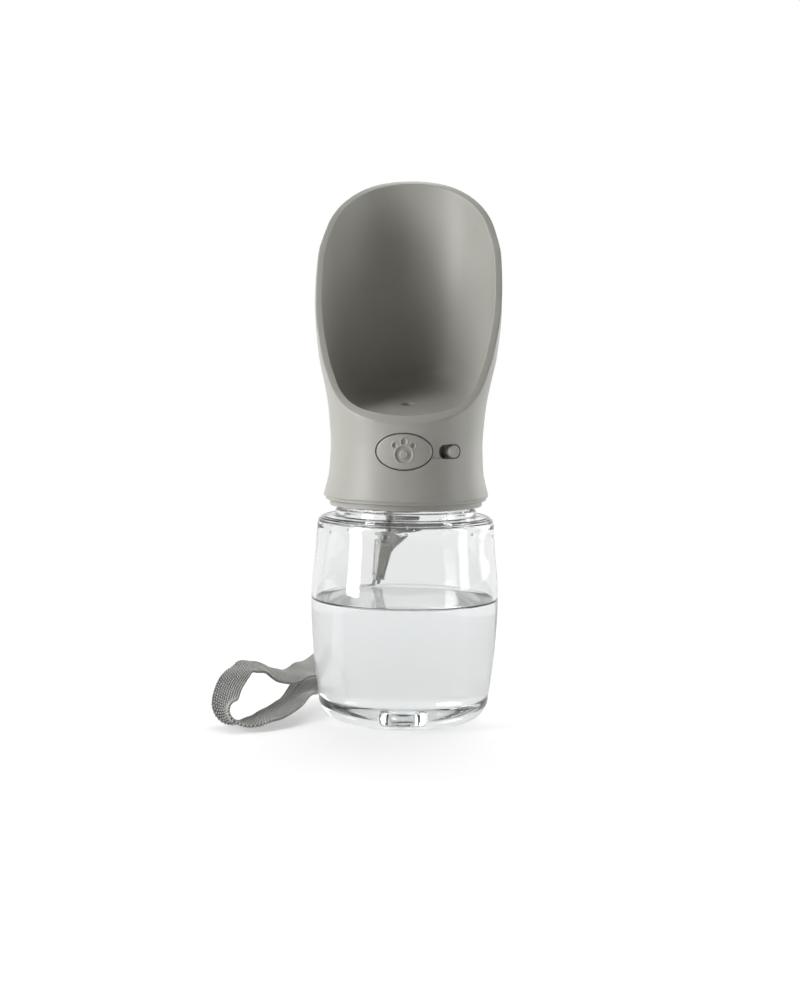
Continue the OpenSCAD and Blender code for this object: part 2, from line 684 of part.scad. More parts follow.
// The strap's two ends, folded round the pin and sewn to each other
tab_l = 15;
tab_drop = unit([3.4, -14.6]);
tab_out = [-tab_drop[1], tab_drop[0]];
tab_end = [lug_y, lug_z] + tab_l * tab_drop;
ply_gap = 0.1;
ply_shift = (strap_t + ply_gap) / 2;
module strap_tab() {
  eye_r = pin_r + 0.12;
  half = strap_t + ply_gap / 2;
  color(strap_grey) difference() {
    union() {
      translate([-strap_w / 2, lug_y, lug_z]) rotate([0, 90, 0]) cylinder(r = eye_r + strap_t, h = strap_w);
      bar_along_x(-strap_w / 2, strap_w / 2)
        polygon([for (q = [[0, half], [tab_l, half], [tab_l, -half], [0, -half]])
          [lug_y, lug_z] + q[0] * tab_drop + q[1] * tab_out]);
    }
    translate([-far, lug_y, lug_z]) rotate([0, 90, 0]) cylinder(r = eye_r, h = 2 * far);
  }
}
stitch_count = 6;
module strap_stitches() {
  stitch_l = 1.3;
  stitch_w = 0.35;
  stitch_proud = 0.2;
  rows = [6.5, 12.5];
  color([0.25, 0.25, 0.25]) for (row = rows) for (i = [0:stitch_count - 1]) for (face = [-1, 1]) {
    x = (i - (stitch_count - 1) / 2) * (strap_w - 2.4) / (stitch_count - 1);
    foot = [lug_y, lug_z] + row * tab_drop + face * (strap_t + ply_gap / 2) * tab_out;
    translate([x, foot[0], foot[1]]) rotate([atan2(tab_out[1], tab_out[0]), 0, 0])
      translate([-stitch_l / 2, face < 0 ? -stitch_proud : 0, -stitch_w / 2])
        cube([stitch_l, stitch_proud, stitch_w]);
  }
}

// The strap's loop: points on its middle line, each with the turn of its flat side about that line.
// It hangs down the back, comes forward on the left, touches the floor and goes back up.
start_a = [0, tab_end[0] - ply_shift * tab_out[0], tab_end[1] - ply_shift * tab_out[1]];
start_b = [0, tab_end[0] + ply_shift * tab_out[0], tab_end[1] + ply_shift * tab_out[1]];
strap_down = [0, tab_drop[0], tab_drop[1]];
strap_route = [concat(start_a, 0), concat(start_a + 4 * strap_down, 0), [-2, 38.3, 75.4, 8],
  [-5.4, 39.6, 71.2, 26], [-9.6, 41.3, 66, 51], [-12.1, 42.2, 60, 74], [-13.7, 42.7, 54, 87],
  [-15.6, 42.8, 47, 90], [-19.5, 42, 39, 86], [-25.5, 39.3, 30, 76], [-32.3, 32, 21.5, 64],
  [-38.1, 23, 15.9, 57], [-42.6, 14, 14.6, 68], [-46.9, 6, 14.1, 78], [-51.8, -1, 15.9, 89],
  [-57.2, -8, 20, 97], [-61.5, -13, 21.1, 74], [-64.4, -16.5, 19.2, 50], [-67, -20, 15.7, 33],
  [-68.3, -23, 11.5, 26], [-68.4, -26, 8, 31], [-66.8, -28.5, 5.2, 50], [-63.8, -30, 3.3, 74],
  [-60, -30, 2.6, 90], [-56.3, -28.6, 2.9, 99], [-52.4, -25, 4, 104], [-48.4, -19, 5, 108],
  [-44.6, -9, 6.4, 113], [-41.8, 6, 8, 118], [-38.6, 24, 9, 123], [-35, 35, 12.5, 120],
  [-29.5, 43.5, 19, 108], [-22.6, 47.9, 29.5, 99], [-17, 49, 39.5, 94], [-13.5, 49.2, 47, 91],
  [-11.9, 49.2, 54, 93], [-10.2, 49.2, 60.5, 104], [-7.9, 48.4, 66.5, 124], [-4.8, 45.6, 72.4, 150],
  [-1.9, 42, 77.6, 169],
  concat(start_b + 2.5 * strap_down + [0, 0.3, 0], 180), concat(start_b, 180)];
function strap_ring(line, i) = let (
    last = len(line) - 1,
    p = line[i],
    ahead = line[min(i + 1, last)],
    behind = line[max(i - 1, 0)],
    step = [ahead[0] - behind[0], ahead[1] - behind[1], ahead[2] - behind[2]],
    along = unit(i == 0 ? strap_down : i == last ? -strap_down : step),
    flat = unit([-along[2], 0, along[0]]),
    near = cross(along, flat),
    wide = cos(p[3]) * flat + sin(p[3]) * near,
    thick = cross(along, wide),
    w = strap_w / 2,
    t = strap_t / 2)
  [for (q = [[w - 0.5, -t], [0.5 - w, -t], [-w, -t * 0.4], [-w, t * 0.4], [0.5 - w, t], [w - 0.5, t],
      [w, t * 0.4], [w, -t * 0.4]])
    [p[0], p[1], p[2]] + q[0] * wide + q[1] * thick];
module strap_loop() {
  line = smooth(strap_route, 2);
  color(strap_grey) swept([for (i = [0:len(line) - 1]) strap_ring(line, i)]);
}

bottle_shell();
mouth_gasket();
head_shell();
thread_collar();
deck_plate();
valve_body();
valve_end_cap();
valve_screws();
outlet_grommet();
rod_seal();
button_guide();
button_cap();
valve_rod();
valve_seal();
button_spring();
lock_knob();
lock_slider();
lock_retainer();
vent_valve();
dip_tube();
tube_weight();
weight_slug();
strap_pin();
strap_tab();
strap_stitches();
strap_loop();
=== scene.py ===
"""Looks of a dog's travel water bottle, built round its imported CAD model.

A clear screw bottle, half full of water, carries a satin grey head. The head's upper part is a tall
scoop that the dog drinks from. Its front has a push button and a travel lock, and a braided wrist
strap hangs from its back. Outlines and places are in millimetres, in the frame's axes, and each
mesh is turned to metres as it is made.
"""

import math

import bmesh
import bpy
import numpy as np
from mathutils import Matrix, Vector


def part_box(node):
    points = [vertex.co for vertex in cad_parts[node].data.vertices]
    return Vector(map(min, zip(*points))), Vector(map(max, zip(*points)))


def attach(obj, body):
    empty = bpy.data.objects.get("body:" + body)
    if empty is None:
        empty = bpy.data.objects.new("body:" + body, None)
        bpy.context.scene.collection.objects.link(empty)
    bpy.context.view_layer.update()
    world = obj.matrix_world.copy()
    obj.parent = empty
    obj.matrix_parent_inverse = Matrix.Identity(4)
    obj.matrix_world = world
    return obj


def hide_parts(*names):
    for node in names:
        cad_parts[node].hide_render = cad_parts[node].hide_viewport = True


bl_info = {
    "name": "Travel water bottle",
    "version": (1, 0, 0),
    "blender": (4, 5, 0),
    "location": "3D View > Sidebar > Water bottle",
    "description": "Dresses a dog's travel water bottle around its CAD frame",
    "category": "Add Mesh",
}

MM = 0.001
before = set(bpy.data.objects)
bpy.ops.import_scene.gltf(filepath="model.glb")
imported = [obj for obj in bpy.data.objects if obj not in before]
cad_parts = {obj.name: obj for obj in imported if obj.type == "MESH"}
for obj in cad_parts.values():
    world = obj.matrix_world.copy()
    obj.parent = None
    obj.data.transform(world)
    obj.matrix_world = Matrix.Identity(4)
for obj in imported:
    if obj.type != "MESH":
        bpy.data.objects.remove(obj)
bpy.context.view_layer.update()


def low(node):
    """A CAD node's lowest corner, in millimetres."""
    return np.array(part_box(node)[0]) / MM


def high(node):
    """A CAD node's highest corner, in millimetres."""
    return np.array(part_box(node)[1]) / MM


# Heights and radii that come from the frame
BOTTLE_R = high("bottle_shell")[0]
MOUTH_Z = high("bottle_shell")[2]
COLLAR_Z = low("thread_collar")[2]
COLLAR_STEP_R = high("thread_collar")[0]
SKIRT_Z = low("head_shell")[2]
BARB_H = 5.2
DECK_Z = low("deck_plate")[2] + BARB_H
DECK_TOP = high("deck_plate")[2]
PRESS_Z = (low("valve_seal")[2] + high("valve_seal")[2]) / 2

# Sizes of the pieces, as the CAD source has them
BOTTLE_WALL = 1.8
FOOT_R = 25
FOOT_CORNER = 9
SHOULDER_Z = MOUTH_Z - 15.5
NECK_R = 26.6
NECK_BORE_R = 24.9
BEAD_R = 28
PITCH = 4
THREAD_TURNS = 1.75
THREAD_Z = MOUTH_Z - 2.85 - PITCH * THREAD_TURNS
COLLAR_BORE_R = 27.95
COLLAR_R = 29.2
SKIRT_BORE_R = 29.25
HEAD_H = 129.3
WAIST_R = 30.1
WAIST_WALL = 2.2
SCOOP_R = 36.8
SCOOP_WALL = 2.8
SKIRT_R = 32.6
FLOOR_Z = PRESS_Z + 17.4
FLOOR_T = 2.4
FLOOR_SLOPE = math.radians(12.5)
OUTLET_R = 2.6
BUTTON_W = 21.6
BUTTON_H = 14
BUTTON_GAP = 0.25
BUTTON_FACE_R = WAIST_R + 0.25
KNOB_ANGLE = 38
KNOB_TRAVEL = 6
SLOT_PLAY = 2
KNOB_R = 2.35
SLOT_H = 5.6
LUG_Y = 34
LUG_Z = COLLAR_Z + 13.7
STRAP_W = 12
STRAP_T = 1.4
TUBE_R = 1.5
WEIGHT_AT = np.array([-9.5, 21, 68])
WEIGHT_LEAN = (20, 10, 0)
WEIGHT_TURN = 31
WEIGHT_TOP = 6.2
WEIGHT_TIP = 3.9
WEIGHT_L = 17
CAP_DEPTH = 5.05
BARREL_R = (4.05, 5.18)
BARREL_L = 9.1
BARREL_FRONT = -28.5
BOSS_R = 6.2
SOCKET_R = 4.5
EYE_R = 1.1
EAR_R = 2.8
EAR_T = 2.5
SLUG_START = 3.1
SLUG_L = 10.9
FOOT_H = 1.4
BASE_T = 2.6
DIMPLE_H = 3.4
TRACK_START = 17.5
TUBE_WALL = 0.5
YARN_H = 0.4


def linear(hex_colour):
    """The linear RGBA of an sRGB hex value."""
    values = [int(hex_colour[i : i + 2], 16) / 255 for i in (1, 3, 5)]
    return [*(v / 12.92 if v <= 0.04045 else ((v + 0.055) / 1.055) ** 2.4 for v in values), 1.0]


def per_mm(size):
    """The Scale of a noise or wave whose features are about size millimetres wide."""
    return 1 / (size * MM)


def add_node(tree, kind, inputs=None, **settings):
    """Adds a node with its settings; each input takes a value or another node's output."""
    node = tree.nodes.new(kind)
    for name, value in settings.items():
        setattr(node, name, value)
    for key, value in (inputs or {}).items():
        if isinstance(value, bpy.types.NodeSocket):
            tree.links.new(value, node.inputs[key])
        else:
            node.inputs[key].default_value = value
    return node


# Settings that a user would change


def length(name, description, millimetres):
    """A setting that is a length."""
    return bpy.props.FloatProperty(
        name=name, description=description, default=millimetres * MM, unit="LENGTH"
    )


def power(name, description, watts):
    """A setting that is a lamp's power."""
    return bpy.props.FloatProperty(name=name, description=description, default=watts, unit="POWER")


def tint(name, description, hex_colour):
    """A setting that is a colour."""
    return bpy.props.FloatVectorProperty(
        name=name, description=description, subtype="COLOR", size=4, default=linear(hex_colour)
    )


class BottleSettings(bpy.types.PropertyGroup):
    """The clear bottle and its water"""

    segments: bpy.props.IntProperty(
        name="Segments", description="Faces around a turned piece", default=192, min=48
    )
    water_height: length("Water height", "Water level above the table", 47.6)
    drops: bpy.props.FloatProperty(
        name="Drops", description="Drops on each square centimetre of the neck", default=3.0, min=0
    )
    plastic: tint("Plastic", "Tint of the clear plastic", "#FCFDFD")


class HeadSettings(bpy.types.PropertyGroup):
    """The drinking head, its button and its lock"""

    columns: bpy.props.IntProperty(
        name="Columns", description="Faces around the head", default=300, min=120
    )
    rim_round: length("Rim rounding", "Radius of the rim's outer edge", 0.7)
    floor_round: length("Floor rounding", "Radius between the scoop's wall and its floor", 9)
    mark_depth: length("Mark depth", "Depth of the paw mark in the button", 0.5)
    plastic: tint("Plastic", "Colour of the head's plastic", "#B0AFA8")


class StrapSettings(bpy.types.PropertyGroup):
    """The braided wrist strap"""

    yarn_pitch: length("Yarn pitch", "Distance from yarn to yarn along the strap", 1.0)
    yarn_columns: bpy.props.IntProperty(
        name="Yarn columns", description="Columns of yarn across the strap", default=12, min=4
    )
    yarn: tint("Yarn", "Colour of the strap's yarn", "#BDBCB8")


class StageSettings(bpy.types.PropertyGroup):
    """Floor, lamps and camera"""

    lens: bpy.props.FloatProperty(
        name="Lens", description="Focal length of the camera", default=59.94 * MM, unit="CAMERA"
    )
    floor_lift: bpy.props.FloatProperty(
        name="Floor lift", description="Light that the floor adds where it is looked at",
        default=0.43, min=0,
    )
    left_power: power("Left softbox", "Power of the left softbox", 8.0)
    right_power: power("Right softbox", "Power of the right softbox", 2.2)
    panel_power: power("Right panel", "Power of the panel behind on the right", 2.0)
    top_power: power("Top softbox", "Power of the softbox overhead", 7.0)
    floor: tint("Floor", "Colour of the floor", "#C8C8C8")


# Finishes


def new_material(name):
    """A material with one Principled surface: the material, its tree, the surface and Object coordinates."""
    material = bpy.data.materials.new(name)
    material.use_nodes = True
    tree = material.node_tree
    tree.nodes.clear()
    surface = add_node(tree, "ShaderNodeBsdfPrincipled")
    add_node(tree, "ShaderNodeOutputMaterial", {"Surface": surface.outputs["BSDF"]})
    place = add_node(tree, "ShaderNodeTexCoord").outputs["Object"]
    return material, tree, surface, place


def varied(tree, surface, place, colour, spot_mm, spread):
    """Lets a colour drift lighter and darker by a share, in spots of a real size."""
    drift = add_node(tree, "ShaderNodeTexNoise", {"Vector": place, "Scale": per_mm(spot_mm), "Detail": 3.0})
    value = add_node(
        tree, "ShaderNodeMapRange",
        {"Value": drift.outputs["Fac"], "From Min": 0.3, "From Max": 0.7,
         "To Min": 1 - spread, "To Max": 1 + spread},
    )
    tone = add_node(
        tree, "ShaderNodeHueSaturation", {"Color": colour, "Value": value.outputs["Result"]}
    )
    tree.links.new(tone.outputs["Color"], surface.inputs["Base Color"])


def bumped(tree, surface, pattern, strength, depth_mm):
    """Lifts a surface by a pattern, to a depth in real millimetres."""
    bump = add_node(
        tree, "ShaderNodeBump",
        {"Height": pattern.outputs["Fac"], "Strength": strength, "Distance": depth_mm * MM},
    )
    tree.links.new(bump.outputs["Normal"], surface.inputs["Normal"])


def rough_from(tree, surface, pattern, least, most):
    """Lets the roughness follow a pattern between two values."""
    gloss = add_node(
        tree, "ShaderNodeMapRange", {"Value": pattern.outputs["Fac"], "To Min": least, "To Max": most}
    )
    tree.links.new(gloss.outputs["Result"], surface.inputs["Roughness"])


def ends_in(tree, shader):
    """Makes a shader the one that the material shows."""
    output = next(n for n in tree.nodes if n.type == "OUTPUT_MATERIAL")
    tree.links.new(shader.outputs[0], output.inputs["Surface"])


def satin_abs(name, colour, grain_mm=0.3):
    """Moulded ABS: the mould's fine spark-eroded grain breaks the gloss into a satin."""
    material, tree, surface, place = new_material(name)
    varied(tree, surface, place, colour, 18, 0.025)
    grain = add_node(
        tree, "ShaderNodeTexNoise", {"Vector": place, "Scale": per_mm(grain_mm), "Detail": 4.0}
    )
    rough_from(tree, surface, grain, 0.36, 0.50)
    bumped(tree, surface, grain, 0.12, 0.05)
    surface.inputs["IOR"].default_value = 1.53
    return material


def lets_light_in(tree, surface):
    """Clear walls cast no hard shadow, so that the lamps reach what stands inside."""
    shadow = add_node(tree, "ShaderNodeLightPath").outputs["Is Shadow Ray"]
    through = add_node(tree, "ShaderNodeBsdfTransparent", {"Color": (0.78, 0.78, 0.78, 1)})
    mixed = add_node(
        tree, "ShaderNodeMixShader", {0: shadow, 1: surface.outputs["BSDF"], 2: through.outputs[0]}
    )
    ends_in(tree, mixed)


def clear_copolyester(name, colour):
    """Clear moulded copolyester: glossy and colourless, with the faint waves of its mould."""
    material, tree, surface, place = new_material(name)
    waves = add_node(tree, "ShaderNodeTexNoise", {"Vector": place, "Scale": per_mm(14), "Detail": 1.0})
    bumped(tree, surface, waves, 0.12, 0.6)
    surface.inputs["Base Color"].default_value = colour
    surface.inputs["Transmission Weight"].default_value = 1.0
    surface.inputs["IOR"].default_value = 1.46
    surface.inputs["Roughness"].default_value = 0.015
    lets_light_in(tree, surface)
    return material


def clear_water(name):
    """Still drinking water: it bends what is behind it and has no colour of its own."""
    material, tree, surface, place = new_material(name)
    ripple = add_node(tree, "ShaderNodeTexNoise", {"Vector": place, "Scale": per_mm(25)})
    bumped(tree, surface, ripple, 0.05, 0.5)
    surface.inputs["Base Color"].default_value = linear("#FDFEFE")
    surface.inputs["Transmission Weight"].default_value = 1.0
    surface.inputs["IOR"].default_value = 1.333
    surface.inputs["Roughness"].default_value = 0.0
    lets_light_in(tree, surface)
    return material


def clear_silicone(name):
    """Extruded silicone tube: clear but hazy, so that it reads as a grey line in the bottle."""
    material, tree, surface, place = new_material(name)
    haze = add_node(tree, "ShaderNodeTexNoise", {"Vector": place, "Scale": per_mm(0.8)})
    rough_from(tree, surface, haze, 0.12, 0.3)
    surface.inputs["Base Color"].default_value = linear("#D4D6D4")
    surface.inputs["Transmission Weight"].default_value = 0.8
    surface.inputs["IOR"].default_value = 1.41
    return material


def moulded_acetal(name, colour):
    """Machined white acetal: smooth, slightly waxy, with faint cutter marks."""
    material, tree, surface, place = new_material(name)
    varied(tree, surface, place, colour, 6, 0.02)
    marks = add_node(
        tree, "ShaderNodeTexWave", {"Vector": place, "Scale": per_mm(3), "Distortion": 2.0},
        wave_type="BANDS",
    )
    bumped(tree, surface, marks, 0.08, 0.03)
    surface.inputs["Roughness"].default_value = 0.34
    surface.inputs["IOR"].default_value = 1.48
    return material


def moulded_rubber(name, colour):
    """Moulded silicone or nitrile rubber: matt, with a fine dusty bloom."""
    material, tree, surface, place = new_material(name)
    varied(tree, surface, place, colour, 2.5, 0.05)
    bloom = add_node(
        tree, "ShaderNodeTexNoise", {"Vector": place, "Scale": per_mm(0.2), "Detail": 3.0}
    )
    bumped(tree, surface, bloom, 0.2, 0.04)
    surface.inputs["Roughness"].default_value = 0.62
    return material


def drawn_stainless(name):
    """Drawn stainless steel: bright, with fine lines along the wire or rod."""
    material, tree, surface, place = new_material(name)
    lines = add_node(tree, "ShaderNodeMapping", {"Vector": place, "Scale": (1.0, 0.08, 1.0)})
    scratch = add_node(
        tree, "ShaderNodeTexNoise",
        {"Vector": lines.outputs["Vector"], "Scale": per_mm(0.15), "Detail": 4.0},
    )
    rough_from(tree, surface, scratch, 0.16, 0.36)
    bumped(tree, surface, scratch, 0.1, 0.02)
    surface.inputs["Base Color"].default_value = linear("#C3C2C4")
    surface.inputs["Metallic"].default_value = 1.0
    return material


def polyester_yarn(name, colour):
    """Filament polyester yarn: a silky sheen over fine threads that run along each yarn."""
    material, tree, surface, place = new_material(name)
    varied(tree, surface, place, colour, 0.7, 0.22)
    threads = add_node(
        tree, "ShaderNodeTexNoise", {"Vector": place, "Scale": per_mm(0.12), "Detail": 2.0}
    )
    bumped(tree, surface, threads, 0.35, 0.05)
    surface.inputs["Roughness"].default_value = 0.38
    surface.inputs["Specular IOR Level"].default_value = 0.7
    surface.inputs["Sheen Weight"].default_value = 0.25
    return material


# Outlines


def smooth(points, steps):
    """A Catmull-Rom line through points, as the CAD source draws it."""
    p = [np.array(q, float) for q in points]
    last = len(p) - 1
    line = []
    for i in range(last):
        a, b, c, d = p[max(i - 1, 0)], p[i], p[i + 1], p[min(i + 2, last)]
        for k in range(steps):
            t = k / steps
            bend = (2 * a - 5 * b + 4 * c - d) * t * t + (3 * b - a - 3 * c + d) * t**3
            line.append(0.5 * (2 * b + (c - a) * t + bend))
    return np.array([*line, p[last]])


def arc(centre, radius, start, end, steps):
    """Points on an arc, with its angles in degrees from the first axis."""
    angles = np.radians(np.linspace(start, end, steps + 1))
    return [(centre[0] + radius * math.cos(a), centre[1] + radius * math.sin(a)) for a in angles]


def filleted(corners, steps=4):
    """An outline from corners (radius, height, rounding), each rounding drawn as a short curve."""
    outline = []
    for i, (r, z, rounding) in enumerate(corners):
        here = np.array([r, z])
        if not rounding or i in (0, len(corners) - 1):
            outline.append(here)
            continue
        before = np.array(corners[i - 1][:2]) - here
        after = np.array(corners[i + 1][:2]) - here
        start = here + before / np.linalg.norm(before) * rounding
        end = here + after / np.linalg.norm(after) * rounding
        for k in range(steps + 1):
            t = k / steps
            outline.append((1 - t) ** 2 * start + 2 * t * (1 - t) * here + t * t * end)
    return outline


SHOULDER_CORNER_R = BOTTLE_R - 2.1
SHOULDER_ROUND = 3.5
SHOULDER_CENTRE = (SHOULDER_CORNER_R - SHOULDER_ROUND, SHOULDER_Z - SHOULDER_ROUND - 0.7)
SIDE_LINE = [(2, 0.221), (0.9, 0.344), (0, 0.54), (0.3, 0.675), (1.4, 0.81)]
bottle_side = smooth(
    [
        (FOOT_R + FOOT_CORNER, FOOT_CORNER),
        *[(BOTTLE_R - inward, SHOULDER_Z * share) for inward, share in SIDE_LINE],
        (SHOULDER_CORNER_R, SHOULDER_Z - SHOULDER_ROUND - 1.2),
    ],
    8,
)
HEAD_LINE = [
    (SKIRT_R - 0.1, 0.024), (WAIST_R + 1.1, 0.063), (WAIST_R + 0.4, 0.095), (WAIST_R, 0.155),
    (WAIST_R, 0.187), (WAIST_R + 0.55, 0.247), (WAIST_R + 1.5, 0.309), (WAIST_R + 3.1, 0.371),
    (SCOOP_R - 1.9, 0.431), (SCOOP_R - 0.9, 0.492), (SCOOP_R - 0.2, 0.553), (SCOOP_R, 0.61),
    (SCOOP_R - 0.1, 0.70), (SCOOP_R - 0.3, 0.80), (SCOOP_R - 0.9, 0.864), (SCOOP_R - 2.1, 0.931),
    (SCOOP_R - 3.8, 1), (SCOOP_R - 4.5, 1.03),
]
head_line = smooth([(r, SKIRT_Z + 0.5 + (HEAD_H - 0.5) * share) for r, share in HEAD_LINE], 6)
RIM_LINE = [
    (-0.95, 0.228), (-0.828, 0.245), (-0.755, 0.257), (-0.585, 0.287), (-0.47, 0.317),
    (-0.385, 0.352), (-0.335, 0.40), (-0.25, 0.492), (-0.11, 0.60), (0.03, 0.70), (0.15, 0.767),
    (0.242, 0.798), (0.33, 0.831), (0.402, 0.864), (0.492, 0.897), (0.603, 0.931), (0.764, 0.974),
    (0.90, 1.002), (1.05, 1.025),
]
rim_line = smooth([(y * SCOOP_R, SKIRT_Z + HEAD_H * share) for y, share in RIM_LINE], 6)


def head_radius(z):
    """The head's outer radius at a height."""
    return np.interp(z, head_line[:, 1], head_line[:, 0])


def from_front(angle, radius):
    """X and Y of a point at an angle from the front towards the viewer's right."""
    return radius * np.sin(angle), -radius * np.cos(angle)


# Meshes


def mesh_object(name, points, faces, material=None):
    """A smooth mesh from points in millimetres, at the world's origin."""
    mesh = bpy.data.meshes.new(name)
    mesh.from_pydata((np.asarray(points, float) * MM).tolist(), [], faces)
    obj = bpy.data.objects.new(name, mesh)
    bpy.context.scene.collection.objects.link(obj)
    if material:
        mesh.materials.append(material)
    mesh.shade_smooth()
    return obj


def tidy_mesh(obj, sharp=38, merge=0.0005, turn=True):
    """Merges doubles, turns the faces outwards and keeps the edges sharp that are."""
    form = bmesh.new()
    form.from_mesh(obj.data)
    bmesh.ops.remove_doubles(form, verts=form.verts, dist=merge * MM)
    bmesh.ops.dissolve_degenerate(form, edges=form.edges, dist=merge * MM)
    if turn:
        bmesh.ops.recalc_face_normals(form, faces=form.faces)
    form.to_mesh(obj.data)
    form.free()
    obj.data.shade_smooth()
    obj.data.set_sharp_from_angle(angle=math.radians(sharp))
    return obj


def grid_faces(rows, columns, first=0):
    """Quads between rows of points, each row a closed ring."""
    return [
        (first + i * columns + k, first + i * columns + (k + 1) % columns,
         first + (i + 1) * columns + (k + 1) % columns, first + (i + 1) * columns + k)
        for i in range(rows - 1) for k in range(columns)
    ]


def swept(name, rings, material, closed_ends=True):
    """A tube through rings of points, closed at both ends."""
    rings = np.asarray(rings, float)
    count = rings.shape[1]
    faces = grid_faces(len(rings), count)
    if closed_ends:
        faces += [tuple(range(count)), tuple((len(rings) - 1) * count + k for k in range(count))]
    return tidy_mesh(mesh_object(name, rings.reshape(-1, 3), faces, material))


def prism(name, points, material=None):
    """A solid between two equal outlines, whose points follow each other."""
    count = len(points) // 2
    faces = grid_faces(2, count) + [tuple(range(count)), tuple(range(2 * count - 1, count - 1, -1))]
    return tidy_mesh(mesh_object(name, points, faces, material))


def block(name, low_corner, high_corner, rounding, material):
    """A box with rounded edges."""
    form = bmesh.new()
    bmesh.ops.create_cube(form, size=1)
    centre = (np.array(low_corner) + np.array(high_corner)) / 2
    span = np.array(high_corner) - np.array(low_corner)
    for v in form.verts:
        v.co = Vector((centre + np.array(v.co) * span) * MM)
    if rounding:
        bmesh.ops.bevel(
            form, geom=form.edges[:], offset=rounding * MM, segments=3, profile=0.5, affect="EDGES"
        )
    mesh = bpy.data.meshes.new(name)
    form.to_mesh(mesh)
    form.free()
    obj = bpy.data.objects.new(name, mesh)
    bpy.context.scene.collection.objects.link(obj)
    mesh.materials.append(material)
    return tidy_mesh(obj)


def placed(obj, matrix):
    """Moves a mesh's points by a matrix in metres and leaves its object at the origin."""
    obj.data.transform(matrix)
    return obj


def joined(name, pieces):
    """One object from several."""
    bpy.ops.object.select_all(action="DESELECT")
    for piece in pieces:
        piece.select_set(True)
    bpy.context.view_layer.objects.active = pieces[0]
    bpy.ops.object.join()
    pieces[0].name = name
    pieces[0].data.name = name
    return pieces[0]


def carved(obj, tool, operation="DIFFERENCE"):
    """Cuts a tool from an object, or adds it, and removes the tool."""
    modifier = obj.modifiers.new("carve", "BOOLEAN")
    modifier.operation = operation
    modifier.solver = "EXACT"
    modifier.object = tool
    applied(obj)
    bpy.data.objects.remove(tool)
    return obj


def applied(obj):
    """Turns an object with modifiers into its plain mesh."""
    graph = bpy.context.evaluated_depsgraph_get()
    mesh = bpy.data.meshes.new_from_object(obj.evaluated_get(graph))
    obj.modifiers.clear()
    obj.data = mesh
    return obj


def dressed(obj, body, slot, *nodes):
    """Hands a finished piece to the frame: what it rides on and what it stands for. The slot argument is not
    used.
    """
    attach(obj, body)
    if nodes:
        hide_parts(*nodes)
    return obj


# Geometry Nodes trees


def new_tree(name, inputs):
    """A Geometry Nodes tree with a geometry in and out and the named inputs."""
    tree = bpy.data.node_groups.new(name, "GeometryNodeTree")
    tree.interface.new_socket("Geometry", in_out="OUTPUT", socket_type="NodeSocketGeometry")
    tree.interface.new_socket("Geometry", in_out="INPUT", socket_type="NodeSocketGeometry")
    for label, (kind, default) in inputs.items():
        socket = tree.interface.new_socket(label, in_out="INPUT", socket_type=kind)
        if default is not None:
            socket.default_value = default
    return tree, add_node(tree, "NodeGroupInput").outputs


def end_tree(tree, geometry, finish):
    """Ends a tree in Realize Instances, smooth shading and Set Material."""
    solid = add_node(tree, "GeometryNodeRealizeInstances", {"Geometry": geometry})
    shaded = add_node(tree, "GeometryNodeSetShadeSmooth", {"Geometry": solid.outputs[0]})
    painted = add_node(
        tree, "GeometryNodeSetMaterial", {"Geometry": shaded.outputs[0], "Material": finish}
    )
    add_node(tree, "NodeGroupOutput", {0: painted.outputs[0]})
    return tree


def made_once(build):
    """A tree's builder that hands back the tree it made before, as long as the file holds it."""
    names = []

    def kept():
        if not names or names[0] not in bpy.data.node_groups:
            names[:] = [build().name]
        return bpy.data.node_groups[names[0]]

    return kept


